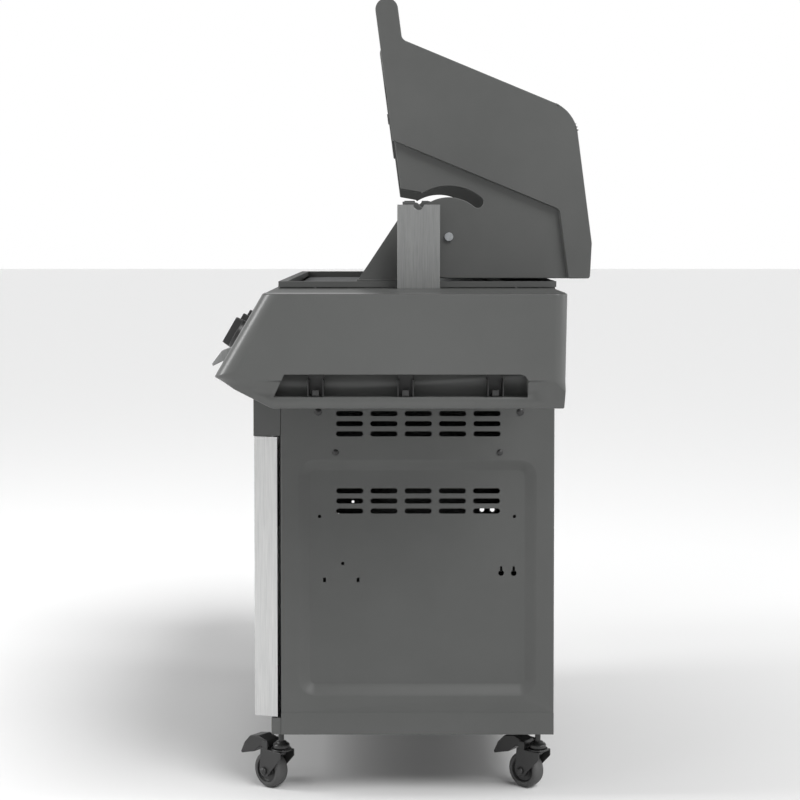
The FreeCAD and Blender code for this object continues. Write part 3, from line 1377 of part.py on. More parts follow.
def caster_fork(n, x, y):
    """Pressed fork with its axle and two ears for the brake pedal."""
    axle_y = "-caster_trail"
    cheeks = prism(
        f"fork_cheeks_{n}",
        (("15", "fork_top"), ("-34", "fork_top"), (f"{axle_y} - 12", "wheel_radius"),
         (f"{axle_y} - 7", "wheel_radius - 10"), (f"{axle_y} + 7", "wheel_radius - 10"),
         (f"{axle_y} + 14", "wheel_radius"), ("15", "fork_top - 12")),
        ("-fork_half", "fork_half"),
    )
    inner = "fork_half - fork_wall"
    gap = box(f"fork_gap_{n}", (f"-({inner})", inner), ("-80", "40"), ("0", "fork_top - fork_wall"))
    ears = [
        box(
            f"fork_ear_{n}_{side}", (inner, "fork_half") if side > 0 else ("-fork_half", f"-({inner})"),
            ("-30", "-17"), ("fork_top - 5", "fork_top + 14"),
        )
        for side in (1, -1)
    ]
    hole = rod(f"fork_hole_{n}", "caster_stem_radius + running_gap", "10", ("0", "0", "fork_top - 6"))
    axle_start, pin_start = ("-fork_half - 3", axle_y, "wheel_radius"), ("-fork_half", "-24", "fork_top + 8")
    axle = rod(f"fork_axle_{n}", "axle_radius", "2 * fork_half + 6", axle_start, "x")
    pin = rod(f"pedal_pin_{n}", "pedal_pin_radius", "2 * fork_half", pin_start, "x")
    shell = cut(f"fork_shell_{n}", fuse(f"fork_solid_{n}", cheeks, *ears), group(f"fork_cuts_{n}", gap, hole))
    return swung(fuse(f"caster_fork_{n}", shell, axle, pin), x, y)


def caster_wheel(n, x, y):
    half = "wheel_width / 2"
    start = (f"-{half}", "-caster_trail", "wheel_radius")
    blank = rod(f"wheel_blank_{n}", "wheel_radius", "wheel_width", start, "x")
    tread = doc.addObject("Part::Fillet", f"wheel_tread_{n}")
    tread.Base = blank
    doc.recompute()
    rims = [index for index, edge in enumerate(blank.Shape.Edges, 1) if edge.Closed]
    shoulder = number("tread_radius")
    tread.Edges = [(index, shoulder, shoulder) for index in rims]
    bore = rod(f"wheel_bore_{n}", "axle_radius + running_gap", "wheel_width + 2",
               (f"-{half} - 1", "-caster_trail", "wheel_radius"), "x")
    return swung(cut(f"caster_wheel_{n}", tread, bore), x, y)


def brake_pedal(n, x, y):
    """Foot pedal pinned above the fork, hanging out over the wheel."""
    pedal = prism(
        f"pedal_blank_{n}",
        (
            ("-16", "fork_top + 4"), ("-20", "fork_top + 14"), ("-42", "fork_top + 20"),
            ("-64", "fork_top + 16"), ("-78", "fork_top + 2"), ("-87", "fork_top - 16"),
            ("-86", "fork_top - 20"), ("-54", "fork_top - 11"),
            ("-38", "fork_top + 2"), ("-30", "fork_top + 2"),
        ),
        ("-fork_half + fork_wall + 1", "fork_half - fork_wall - 1"),
    )
    bore = rod(f"pedal_bore_{n}", "pedal_pin_radius + running_gap", "3 * fork_half",
               ("-1.5 * fork_half", "-24", "fork_top + 8"), "x")
    return swung(cut(f"brake_pedal_{n}", pedal, bore), x, y)


node("caster_stems", caster_stems())
for n, x, y in caster_corners():
    node(f"caster_fork_{n}", caster_fork(n, x, y))
    node(f"caster_wheel_{n}", caster_wheel(n, x, y))
    node(f"brake_pedal_{n}", brake_pedal(n, x, y))


# ---- Check and write --------------------------------------------------------------------------

doc.recompute()
for thing in doc.Objects:
    if {"Invalid", "Error"} & set(thing.State):
        raise RuntimeError(f"{thing.Label} did not compute: {thing.State}")
for label, thing in NODES:
    if thing.Shape.isNull() or not thing.Shape.isValid() or not thing.Shape.Solids:
        raise RuntimeError(f"{label} is not a sound solid")

os.makedirs("parts", exist_ok=True)
for label, thing in NODES:
    thing.Shape.exportStep(f"parts/{label}.step")
print(len(NODES), "sub-parts written")
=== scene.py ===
# %% [markdown]
# # A gas barbecue on casters
# The real grill is a sheet-steel cart with a cast and folded lid on top. Its shape and its joints come from
# a CAD model, so this lesson starts by loading that model as a fixed frame. Every piece made here is in
# metres and in the same place as the CAD part that it stands for.

# %% Load the frame
import json
import math

import bmesh
import bpy
from mathutils import Matrix, Vector

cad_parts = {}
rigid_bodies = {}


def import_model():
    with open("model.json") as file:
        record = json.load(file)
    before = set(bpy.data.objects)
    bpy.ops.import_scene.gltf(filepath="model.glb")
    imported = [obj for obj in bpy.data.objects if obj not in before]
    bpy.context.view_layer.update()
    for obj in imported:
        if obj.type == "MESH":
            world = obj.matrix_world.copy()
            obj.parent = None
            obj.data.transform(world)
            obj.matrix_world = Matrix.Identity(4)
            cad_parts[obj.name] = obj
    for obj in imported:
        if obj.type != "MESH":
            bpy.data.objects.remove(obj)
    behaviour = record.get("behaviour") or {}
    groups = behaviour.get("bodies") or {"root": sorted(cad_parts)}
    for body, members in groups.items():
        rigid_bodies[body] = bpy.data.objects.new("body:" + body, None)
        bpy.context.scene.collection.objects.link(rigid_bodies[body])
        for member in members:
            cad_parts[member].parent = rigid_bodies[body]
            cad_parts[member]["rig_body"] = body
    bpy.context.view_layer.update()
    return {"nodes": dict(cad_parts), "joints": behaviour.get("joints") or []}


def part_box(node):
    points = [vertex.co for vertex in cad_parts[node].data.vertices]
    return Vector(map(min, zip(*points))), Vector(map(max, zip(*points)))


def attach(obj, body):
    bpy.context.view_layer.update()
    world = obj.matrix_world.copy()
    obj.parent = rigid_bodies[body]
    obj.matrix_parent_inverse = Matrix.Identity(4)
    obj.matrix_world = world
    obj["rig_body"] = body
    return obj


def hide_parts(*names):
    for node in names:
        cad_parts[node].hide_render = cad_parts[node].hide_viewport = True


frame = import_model()
MM = 0.001

# %% [markdown]
# ## Helpers for materials
# A material is a small graph of nodes. It could be painted by hand or taken from a picture, but a graph of
# noise and ramps works at any distance and needs no files. One helper adds a node with its settings and
# its links, and one turns a hex colour as a designer writes it into the linear colour that a renderer adds
# up.

# %% Colour and node helpers
def linear(code):
    """An sRGB hex colour as linear red, green, blue and alpha."""
    shares = [int(code[place:place + 2], 16) / 255 for place in (0, 2, 4)]
    return [*(s / 12.92 if s <= 0.04045 else ((s + 0.055) / 1.055) ** 2.4 for s in shares), 1.0]


def add_node(tree, kind, inputs=None, links=None, **options):
    """A node with its options, its inputs by name, and links as {input: (node, output)}."""
    made = tree.nodes.new(kind)
    for name, value in options.items():
        setattr(made, name, value)
    for name, value in (inputs or {}).items():
        made.inputs[name].default_value = value
    for name, (source, output) in (links or {}).items():
        tree.links.new(source.outputs[output], made.inputs[name])
    return made


def shade_between(ramp, low, high, start=0.3, end=0.7):
    """Sets a colour ramp to run from one hex colour to another."""
    ramp.color_ramp.elements[0].position = start
    ramp.color_ramp.elements[0].color = linear(low)
    ramp.color_ramp.elements[1].position = end
    ramp.color_ramp.elements[1].color = linear(high)


def new_surface(name, metallic, roughness, ior=None, **sockets):
    """A material with its shader set, and the tree to add patterns to."""
    material = bpy.data.materials.new(name)
    material.use_nodes = True
    shader = material.node_tree.nodes["Principled BSDF"]
    shader.inputs["Metallic"].default_value = metallic
    shader.inputs["Roughness"].default_value = roughness
    if ior:
        shader.inputs["IOR"].default_value = ior
    for socket, value in sockets.items():
        shader.inputs[socket.replace("_", " ")].default_value = value
    return material, material.node_tree, shader


print("helpers ready")

# %% [markdown]
# ## Grained finishes
# Powder coat, moulded plastic, rubber and painted castings are all nearly even surfaces: a faint drift of
# colour over a hand's width, and a fine grain that breaks up the reflections. The true grain of powder coat
# is about half a millimetre, too fine to see from across a room, so it is drawn two to three times as
# coarse. The same recipe is used for all of these, with each finish's own sizes.

# %% Grained finishes
def grained(name, shades, drift_mm, grain_mm, relief_mm, metallic, rough, ior=None, **sockets):
    """A finish with a slow drift between two shades, and grain of a real size in its gloss and relief."""
    material, tree, shader = new_surface(name, metallic, rough[0], ior, **sockets)
    place = add_node(tree, "ShaderNodeTexCoord")
    drift = add_node(
        tree, "ShaderNodeTexNoise", {"Scale": 1 / (drift_mm * MM), "Detail": 4.0, "Roughness": 0.6},
        {"Vector": (place, "Object")},
    )
    tint = add_node(tree, "ShaderNodeValToRGB", links={"Fac": (drift, "Fac")})
    shade_between(tint, *shades)
    tree.links.new(tint.outputs["Color"], shader.inputs["Base Color"])
    grain = add_node(
        tree, "ShaderNodeTexNoise", {"Scale": 1 / (grain_mm * MM), "Detail": 3.0, "Roughness": 0.55},
        {"Vector": (place, "Object")},
    )
    gloss = add_node(
        tree, "ShaderNodeMapRange", {"To Min": rough[0], "To Max": rough[1]}, {"Value": (grain, "Fac")}
    )
    tree.links.new(gloss.outputs["Result"], shader.inputs["Roughness"])
    relief = add_node(
        tree, "ShaderNodeBump", {"Strength": 0.5, "Distance": relief_mm * MM}, {"Height": (grain, "Fac")}
    )
    tree.links.new(relief.outputs["Normal"], shader.inputs["Normal"])
    return material


# Polyester powder coat on steel, baked: satin, with orange peel.
powder_coat = grained("powder_coated_steel", ("484948", "4e4f4e"), 240, 1.6, 0.10, 0.0, (0.42, 0.56), 1.5)
# Die-cast aluminium under textured paint: a little rougher than the folded sheet beside it.
painted_casting = grained(
    "painted_cast_aluminium", ("4a4b4a", "505150"), 180, 1.3, 0.16, 0.0, (0.46, 0.62), 1.5
)
# Glass-filled polypropylene from a spark-eroded mould: even colour and a soft sheen.
grey_moulding = grained(
    "moulded_polypropylene", ("4c4d4c", "525352"), 300, 1.2, 0.08, 0.0, (0.30, 0.40), 1.49
)
# ABS and nylon mouldings: nearly black, finely grained.
black_moulding = grained("moulded_black_nylon", ("1b1b1b", "212121"), 90, 0.9, 0.07, 0.0, (0.36, 0.52), 1.53)
# Electrocoated caster steel: thin black paint, glossier than powder coat.
electrocoat = grained("electrocoated_steel", ("222222", "2c2c2c"), 40, 1.1, 0.05, 0.0, (0.30, 0.45), 1.5)
# Cast polyurethane and rubber: grey-black and dull, with a bloom of dust.
tread_rubber = grained("polyurethane_tread", ("3c3c3c", "484848"), 25, 1.4, 0.12, 0.0, (0.62, 0.8), 1.52)
# Vitreous enamel on the cooking grids: a glassy coat over a rough core.
enamel = grained(
    "vitreous_enamel", ("77787a", "8a8b8c"), 50, 2.2, 0.20, 0.0, (0.28, 0.5), 1.5, Coat_Weight=0.3
)
# Heat-proof paint on the gas pipe: dull.
pipe_paint = grained("heat_proof_paint", ("202020", "292929"), 60, 1.6, 0.10, 0.0, (0.55, 0.7), 1.5)
print("grained finishes", 8)

# %% [markdown]
# ## Brushed and plated metals
# Stainless sheet is brushed with an abrasive belt, so its scratches run one way and are far longer than
# they are wide. Noise that is stretched along one direction gives those lines. Anisotropy on the shader
# would stretch each highlight as well; a modest amount is set, the same all over.

# %% Metals
def brushed(name, shades, line_mm, stretch, relief_mm, rough, **sockets):
    """A metal with fine lines. Stretch is how long a line is in x, y and z against its width."""
    material, tree, shader = new_surface(name, 1.0, rough[0], **sockets)
    place = add_node(tree, "ShaderNodeTexCoord")
    squeeze = add_node(
        tree, "ShaderNodeMapping", {"Scale": [1 / way for way in stretch]}, {"Vector": (place, "Object")}
    )
    lines = add_node(
        tree, "ShaderNodeTexNoise", {"Scale": 1 / (line_mm * MM), "Detail": 3.0, "Roughness": 0.7},
        {"Vector": (squeeze, "Vector")},
    )
    tint = add_node(tree, "ShaderNodeValToRGB", links={"Fac": (lines, "Fac")})
    shade_between(tint, *shades)
    tree.links.new(tint.outputs["Color"], shader.inputs["Base Color"])
    gloss = add_node(
        tree, "ShaderNodeMapRange", {"To Min": rough[0], "To Max": rough[1]}, {"Value": (lines, "Fac")}
    )
    tree.links.new(gloss.outputs["Result"], shader.inputs["Roughness"])
    relief = add_node(
        tree, "ShaderNodeBump", {"Strength": 0.35, "Distance": relief_mm * MM}, {"Height": (lines, "Fac")}
    )
    tree.links.new(relief.outputs["Normal"], shader.inputs["Normal"])
    return material


# Type 430 stainless sheet, belt brushed along its length: bright, with vertical or level lines.
upright_brushed = brushed(
    "brushed_stainless_upright", ("b4b5b5", "cccccb"), 1.2, (1, 1, 60), 0.04, (0.28, 0.42), Anisotropic=0.4
)
level_brushed = brushed(
    "brushed_stainless_level", ("a9aaaa", "c2c2c1"), 1.2, (60, 1, 1), 0.04, (0.28, 0.42), Anisotropic=0.4
)
# Stainless for the spit brackets and the bottle opener: a little rougher than the doors, and darker. On the
# brackets the darker colour is painted shade, standing in for their darker reflection; the opener's dark
# grey is its own.
darker_stainless_and_shade = brushed("rolled_stainless", ("858686", "989998"), 1.4, (1, 1, 40), 0.04, (0.34, 0.46))
# Nickel and chrome plate: mirror bright with the faint waves of polishing.
chrome_plate = brushed("chrome_plate", ("c8c9cb", "d8d9da"), 6, (1, 1, 1), 0.02, (0.07, 0.14))
# Zinc plate: cool grey and cloudy.
zinc_plate = brushed("zinc_plate", ("8f9294", "a9acae"), 3, (1, 1, 1), 0.03, (0.32, 0.48))
# Turned and milled brass: warm yellow with tool marks round it.
brass = brushed("turned_brass", ("b08d4f", "c6a463"), 0.8, (1, 12, 1), 0.03, (0.22, 0.36))
# Stainless that has been heated: straw and brown over the brushed grey.
heated_steel = brushed("heat_tinted_stainless", ("7d756b", "a09a90"), 9, (1, 5, 1), 0.04, (0.32, 0.5))
print("metals", 7)

# %% [markdown]
# ## Softening every edge
# No real edge is perfectly sharp: folded sheet has a radius, a casting is rounded by its mould, and a
# sheared edge is dressed. Those edges catch the light, and a model without them looks like paper. The CAD
# parts could have a bevel modifier each, but their meshes are loose triangles. So a copy of each mesh is
# merged, its flat faces are joined up, and every edge that turns more than a set angle is bevelled.

# %% A piece in a CAD part's place
made_pieces = []


def link_piece(name, mesh_data, material, slot, body, *nodes):
    """Shows a bmesh as a piece that rides on a body and stands for CAD nodes."""
    mesh = bpy.data.meshes.new(name)
    mesh_data.to_mesh(mesh)
    mesh_data.free()
    piece = bpy.data.objects.new(name, mesh)
    bpy.context.scene.collection.objects.link(piece)
    for surface in material if isinstance(material, (list, tuple)) else [material]:
        mesh.materials.append(surface)
    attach(piece, body)
    if nodes:
        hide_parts(*nodes)
    made_pieces.append(name)
    return piece


def merged_copy(node):
    """The CAD node's mesh with its corners merged and its flat faces joined."""
    copy = bmesh.new()
    copy.from_mesh(frame["nodes"][node].data)
    bmesh.ops.remove_doubles(copy, verts=copy.verts, dist=0.002 * MM)
    bmesh.ops.dissolve_limit(copy, angle_limit=math.radians(0.5), verts=copy.verts, edges=copy.edges)
    return copy


def smooth(mesh_data):
    for face in mesh_data.faces:
        face.smooth = True
    return mesh_data


def bevel_edges(mesh_data, edges, width_mm, segments=2, clamp=True):
    bmesh.ops.bevel(
        mesh_data, geom=edges, offset=width_mm * MM, offset_type="OFFSET", segments=segments, profile=0.5,
        affect="EDGES", clamp_overlap=clamp, material=-1,
    )


def edges_turning(mesh_data, angle):
    """The edges between two faces that meet at more than an angle in degrees."""
    return [
        edge for edge in mesh_data.edges
        if len(edge.link_faces) == 2 and edge.calc_face_angle() > math.radians(angle)
    ]


def soften(mesh_data, width_mm, angle=28, segments=2, clamp=False):
    """Rounds every edge that turns more than the angle."""
    bevel_edges(mesh_data, edges_turning(mesh_data, angle), width_mm, segments, clamp)
    smooth(mesh_data)


def even_shading(piece):
    """Lets the large faces decide the shading, so that they look flat up to their rounded edges."""
    weigh = piece.modifiers.new("even_shading", "WEIGHTED_NORMAL")
    weigh.weight = 80
    weigh.keep_sharp = True


def dress(node, width_mm, material, slot):
    """Puts a rounded copy in a node's place. A corner that the bevel throws out goes back to the node's box."""
    copy = merged_copy(node)
    if width_mm:
        soften(copy, width_mm, clamp=node == "firebox")
        low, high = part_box(node)
        for vertex in copy.verts:
            vertex.co = [min(max(value, a), b) for value, a, b in zip(vertex.co, low, high)]
    even_shading(link_piece(f"{node}_finished", copy, material, slot, frame["nodes"][node]["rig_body"], node))


print("edge tools ready")

# %% [markdown]
# ## Parts that keep their CAD shape
# Most sheet, tube and cast parts are already right in the CAD model, and need only a finish and soft edges.
# They could be listed one call at a time. A table is shorter, and shows at a glance how wide each kind of
# edge is in millimetres: under 1 mm for cut sheet, and nearly 2 mm for the cast ends of the lid.

# %% Sheet steel, castings and mouldings
DRESSED = (
    (0.5, powder_coat, "graphite_paint", (
        "rear_panel", "base_shelf", "front_lower_rail", "door_header",
        "hinge_ears", "control_panel", "side_shelf_right", "side_shelf_left", "shelf_arms", "tray_runners",
    )),
    (0.6, powder_coat, "graphite_paint", ("firebox", "lid_skin")),
    (1.7, painted_casting, "cast_aluminium", ("lid_end_right", "lid_end_left")),
    (0.5, upright_brushed, "stainless", ("door_right", "door_left")),
    (0.5, level_brushed, "stainless", ("lid_handle", "grease_tray", "lid_thermometer")),
    # On the spit brackets this stainless's darker colour is painted shade; the bottle opener is dark grey
    # metal.
    (0.6, darker_stainless_and_shade, "stainless", ("spit_brackets", "bottle_opener")),
    (0.4, heated_steel, "stainless", ("flame_tamers", "burner_tubes")),
    (0.0, level_brushed, "stainless", ("warming_rack",)),
    (0.4, chrome_plate, "chrome", ("knob_bezels",)),
    (0.5, zinc_plate, "zinc_steel", ("hinge_pins",)),
    (0.4, brass, "valve_brass", ("gas_valves", *(f"valve_stem_{n}" for n in range(1, 5)))),
    (0.4, pipe_paint, "pipe_metal", ("manifold",)),
    (0.8, black_moulding, "black_plastic", (
        "door_pull_right", "door_pull_left", *(f"knob_{n}" for n in range(1, 5)),
    )),
    (0.5, tread_rubber, "rubber", ("lid_bumpers",)),
)
for width, surface, slot_name, nodes in DRESSED:
    for node_name in nodes:
        dress(node_name, width, surface, slot_name)
    print(slot_name, len(nodes))

# %% [markdown]
# ## Tools for pieces that are made afresh
# Most sheet parts start as an outline that is pushed into a plate, and most round parts as half a section
# that is spun about its axis. Both could be typed in as lists of corners, but the operators keep the shape
# easy to change. Holes and pockets are taken out with the Boolean modifier, as a cutter would take them.

# %% Plates, turned parts and cuts
def plate(outline, low, high):
    """A plate across the grill: an outline of (y, z) corners in mm, from one x to another."""
    made = bmesh.new()
    corners = [made.verts.new((low * MM, y * MM, z * MM)) for y, z in outline]
    face = made.faces.new(corners)
    pushed = bmesh.ops.extrude_face_region(made, geom=[face])["geom"]
    moved = [item for item in pushed if isinstance(item, bmesh.types.BMVert)]
    bmesh.ops.translate(made, verts=moved, vec=((high - low) * MM, 0, 0))
    bmesh.ops.recalc_face_normals(made, faces=made.faces)
    return made


def turned(section, steps=40):
    """A part turned on a lathe: a section of (radius, along) in mm, spun about z."""
    made = bmesh.new()
    spots = [made.verts.new((radius * MM, 0, along * MM)) for radius, along in section]
    edges = [made.edges.new(pair) for pair in zip(spots, spots[1:])]
    bmesh.ops.spin(
        made, geom=spots + edges, cent=(0, 0, 0), axis=(0, 0, 1), angle=math.tau, steps=steps, use_merge=True,
        use_duplicate=False,
    )
    bmesh.ops.remove_doubles(made, verts=made.verts, dist=0.01 * MM)
    bmesh.ops.recalc_face_normals(made, faces=made.faces)
    return made


def stood_at(mesh_data, direction, place):
    """Turns a part that was made about z to another direction, and moves it to a place in metres."""
    turn = Vector((0, 0, 1)).rotation_difference(Vector(direction)).to_matrix()
    bmesh.ops.rotate(mesh_data, verts=mesh_data.verts, cent=(0, 0, 0), matrix=turn)
    bmesh.ops.translate(mesh_data, verts=mesh_data.verts, vec=place)
    return mesh_data


def joined(first, *others):
    """Puts more bmeshes into the first."""
    for other in others:
        spare = bpy.data.meshes.new("joining")
        other.to_mesh(spare)
        other.free()
        first.from_mesh(spare)
        bpy.data.meshes.remove(spare)
    return first


def edges_where(mesh_data, chosen):
    """The edges whose two ends both pass a test on their place in mm."""
    return [edge for edge in mesh_data.edges if all(chosen(*(vertex.co / MM)) for vertex in edge.verts)]


def carved(blank, cutter, wall_mm=0):
    """The blank, given a wall if it is only a skin, with the cutter taken out of it."""
    holders = []
    for shape in (blank, cutter):
        mesh = bpy.data.meshes.new("carving")
        shape.to_mesh(mesh)
        shape.free()
        holder = bpy.data.objects.new("carving", mesh)
        bpy.context.scene.collection.objects.link(holder)
        holders.append(holder)
    if wall_mm:
        wall = holders[0].modifiers.new("wall", "SOLIDIFY")
        wall.thickness, wall.offset = wall_mm * MM, -1
    cut = holders[0].modifiers.new("cut", "BOOLEAN")
    cut.operation, cut.solver, cut.object = "DIFFERENCE", "EXACT", holders[1]
    cut.use_self = True
    bpy.context.view_layer.update()
    result = bmesh.new()
    result.from_object(holders[0], bpy.context.evaluated_depsgraph_get())
    for holder in holders:
        mesh = holder.data
        bpy.data.objects.remove(holder)
        bpy.data.meshes.remove(mesh)
    return result


def mirrored(mesh_data):
    """A copy on the other side of the grill."""
    other = mesh_data.copy()
    bmesh.ops.scale(other, verts=other.verts, vec=(-1, 1, 1))
    bmesh.ops.reverse_faces(other, faces=other.faces)
    return other


def rounded_box(low, high, radius, segments=2):
    """A block between two corners in mm, with all its edges rounded."""
    made = bmesh.new()
    bmesh.ops.create_cube(made, size=1)
    size = [(b - a) * MM for a, b in zip(low, high)]
    bmesh.ops.scale(made, verts=made.verts, vec=size)
    bmesh.ops.translate(made, verts=made.verts, vec=[(a + b) / 2 * MM for a, b in zip(low, high)])
    bevel_edges(made, made.edges[:], radius, segments)
    return smooth(made)


print("tools ready")

# %% [markdown]
# ## Side panels
# Each side of the cart is one sheet of steel, with its edges folded in and a shallow dish pressed into it so
# that it doesn't drum. The dish has a wide soft slope, which catches the light along its foot. It could be a
# bump in the material, but then it would vanish at an angle, so it is made by insetting a rounded outline
# in steps that each go a little deeper. The louvres and the keyholes are then cut through.

# %% Side panels
panel_low, panel_high = (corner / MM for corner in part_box("side_panel_right"))
SHEET, FOLD_RADIUS = 2.0, 2.5
DISH_EDGE, DISH_FOOT, DISH_HEIGHT, DISH_CORNER = 30, 28, 418, 30
# Each step of the dish's edge: how far in, and how much deeper.
DISH_STEPS = ((3, 0.8), (5, 2.8), (6, 3.4), (5, 2.8), (3, 0.8))


def side_panel_sheet():
    """The outer skin of a side panel, dished and folded, before it has a thickness or holes."""
    front, rear, foot, top = panel_low[1], panel_high[1], panel_low[2], panel_high[2]
    outer = panel_high[0]
    sheet = bmesh.new()

    def loop(corners):
        spots = [sheet.verts.new((outer * MM, y * MM, z * MM)) for y, z in corners]
        return spots, [sheet.edges.new((spot, spots[n - 1])) for n, spot in enumerate(spots)]

    _, border = loop(((front, foot), (rear, foot), (rear, top), (front, top)))
    low, high = foot + DISH_FOOT, foot + DISH_FOOT + DISH_HEIGHT
    near, far = front + DISH_EDGE, rear - DISH_EDGE
    dish_spots, _ = loop(((near, low), (far, low), (far, high), (near, high)))
    bmesh.ops.bevel(
        sheet, geom=dish_spots, offset=DISH_CORNER * MM, offset_type="OFFSET", segments=10, profile=0.5,
        affect="VERTICES", clamp_overlap=True, material=-1,
    )
    rim = [edge for edge in sheet.edges if edge not in border]
    bmesh.ops.triangle_fill(sheet, edges=border + rim, use_beauty=True, use_dissolve=False, normal=(1, 0, 0))
    hole = [edge for edge in sheet.edges if len(edge.link_faces) == 1 and edge not in border]
    floor_face = bmesh.ops.contextual_create(sheet, geom=hole)["faces"]
    bmesh.ops.recalc_face_normals(sheet, faces=sheet.faces)
    if floor_face[0].normal.x < 0:
        bmesh.ops.reverse_faces(sheet, faces=sheet.faces)
    for width, depth in DISH_STEPS:
        bmesh.ops.inset_region(
            sheet, faces=floor_face, thickness=width * MM, depth=-depth * MM, use_even_offset=True,
            use_boundary=True,
        )
    for y in (front, rear):
        edge = next(
            edge for edge in sheet.edges
            if len(edge.link_faces) == 1 and all(abs(spot.co.y - y * MM) < 1e-6 for spot in edge.verts)
        )
        fold = bmesh.ops.extrude_edge_only(sheet, edges=[edge])["geom"]
        turned_in = [item for item in fold if isinstance(item, bmesh.types.BMVert)]
        bmesh.ops.translate(sheet, verts=turned_in, vec=(-(panel_high[0] - panel_low[0]) * MM, 0, 0))
    bmesh.ops.recalc_face_normals(sheet, faces=sheet.faces)
    if sum(face.normal.x * face.calc_area() for face in sheet.faces) < 0:
        bmesh.ops.reverse_faces(sheet, faces=sheet.faces)
    bevel_edges(sheet, edges_turning(sheet, 60), FOLD_RADIUS, 4)
    return sheet


print("panel outside, mm", [round(value, 1) for value in panel_low], [round(value, 1) for value in panel_high])

# %% [markdown]
# ## Louvres and holes
# The holes in a side panel are punched before it is folded. Each kind is placed from the panel's own front
# and top edges, as on a sheet-metal drawing: rows of louvres, round holes, keyholes for hanging a scale, and
# two short upright slots. Every cutter is an outline that is pushed through the sheet.

# %% Cutters for the side panels
SLOT_LONG, SLOT_WIDE = 47.5, 9.2
SLOT_BEHIND, SLOT_PITCH = 120.5, 59.9
SLOT_BELOW, SLOT_ROW_PITCH, SLOT_GROUP_PITCH = 59, 17.75, 137
ROUND_HOLES, HOLE_WIDE = ((67.5, 241), (409, 241), (108, 324)), 6
KEYHOLES, KEYHOLE_WIDE, KEYHOLE_STEM = ((386, 341), (408, 341)), 10, (4, 3, 12)
UPRIGHT_SLOTS, UPRIGHT_SIZE = ((76, 353), (135, 353)), (5, -4, 4)
CUT_INSIDE, CUT_OUTSIDE = 15, 5
ROUND_STEPS = 8


def through_panel(outline):
    """A cutter with an outline of (behind the front edge, below the top edge) corners."""
    corners = [(panel_low[1] + behind, panel_high[2] - below) for behind, below in outline]
    return plate(corners, panel_high[0] - CUT_INSIDE, panel_high[0] + CUT_OUTSIDE)


def slot_cutter(behind, below, long, wide):
    """A slot with round ends. One that is hardly longer than it is wide makes a round hole."""
    reach, radius = (long - wide) / 2, wide / 2
    corners = []
    for centre, start in ((behind + reach, -90), (behind - reach, 90)):
        for step in range(ROUND_STEPS + 1):
            angle = math.radians(start + 180 * step / ROUND_STEPS)
            corners.append((centre + radius * math.cos(angle), below - radius * math.sin(angle)))
    return through_panel(corners)


def block_cutter(behind, below, size):
    """A square-cornered slot: its width, and how far it starts and ends above its place."""
    wide, start, end = size
    return through_panel(
        [(behind + across, below - up) for across, up in (
            (-wide / 2, start), (wide / 2, start), (wide / 2, end), (-wide / 2, end),
        )]
    )


cuts = [
    slot_cutter(
        SLOT_BEHIND + SLOT_PITCH * column, SLOT_BELOW + SLOT_ROW_PITCH * row + SLOT_GROUP_PITCH * group,
        SLOT_LONG, SLOT_WIDE,
    )
    for group in range(2) for row in range(3) for column in range(5)
]
cuts += [slot_cutter(*place, HOLE_WIDE + 0.01, HOLE_WIDE) for place in ROUND_HOLES]
for place in KEYHOLES:
    cuts.append(slot_cutter(*place, KEYHOLE_WIDE + 0.01, KEYHOLE_WIDE))
    cuts.append(block_cutter(*place, KEYHOLE_STEM))
cuts += [block_cutter(*place, UPRIGHT_SIZE) for place in UPRIGHT_SLOTS]
print("cutters for a side panel", len(cuts))

# %% Side panels, cut and placed
for side in ("right", "left"):
    sheet = carved(side_panel_sheet(), joined(bmesh.new(), *[cut.copy() for cut in cuts]), SHEET)
    unpaired = [edge for edge in sheet.edges if len(edge.link_faces) != 2]
    print(side, "side panel:", len(sheet.faces), "faces,", len(unpaired), "edges not shared by two faces")
    if side == "left":
        sheet = mirrored(sheet)
    even_shading(link_piece(
        f"side_panel_{side}_pressed", smooth(sheet), powder_coat, "graphite_paint", "root",
        f"side_panel_{side}",
    ))

# %% [markdown]
# ## Ends of the shelves
# Each shelf ends in a moulded cap. Its face is flat, its front edge is rounded like a loaf, and low down the
# face folds inwards, with a long pocket for hooks. A sculpted block could do, but the real one is a plain
# section with a few large radii. So an outline is pushed out and cut across at the fold, and its foot is
# moved in. Its edges are bevelled by their real radii, and the pocket is cut last.

# %% End caps
cap_low, cap_high = (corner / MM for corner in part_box("shelf_end_cap_right"))
CAP_FRONT_TOP, CAP_TOE, CAP_HEEL = (-222.8, 895), (-300, 762), (-208.5, 711)
CAP_REAR_TOP, CAP_REAR_FOOT = (261.3, 895), (257.7, 711)
FOLD_HEIGHT, FOLD_IN = 757, 27
FRONT_ROUND, REAR_ROUND, CAP_EDGE_ROUND = 30, 22, 2.2


def cap_shell():
    """The right-hand cap before its pocket is cut."""
    outline = (CAP_FRONT_TOP, CAP_TOE, CAP_HEEL, CAP_REAR_FOOT, CAP_REAR_TOP)
    cap = plate(outline, cap_low[0], cap_high[0])
    bmesh.ops.bisect_plane(
        cap, geom=cap.verts[:] + cap.edges[:] + cap.faces[:], plane_co=(0, 0, FOLD_HEIGHT * MM),
        plane_no=(0, 0, 1), dist=1e-6,
    )
    outer = cap_high[0]
    for vertex in cap.verts:
        x, _, z = vertex.co / MM
        if x > outer - 1 and z < FOLD_HEIGHT - 1:
            vertex.co.x -= FOLD_IN * MM

    def on_front_edge(x, y, z):
        return x > outer - 1 and y < CAP_FRONT_TOP[0] + 1 and z > FOLD_HEIGHT - 1

    def on_rear_edge(x, y, z):
        return x > outer - 1 and y > CAP_REAR_FOOT[0] - 1 and z > FOLD_HEIGHT - 1

    bevel_edges(cap, edges_where(cap, on_front_edge), FRONT_ROUND, 8)
    bevel_edges(cap, edges_where(cap, on_rear_edge), REAR_ROUND, 8)
    soften(cap, CAP_EDGE_ROUND, 18, 3)
    return cap


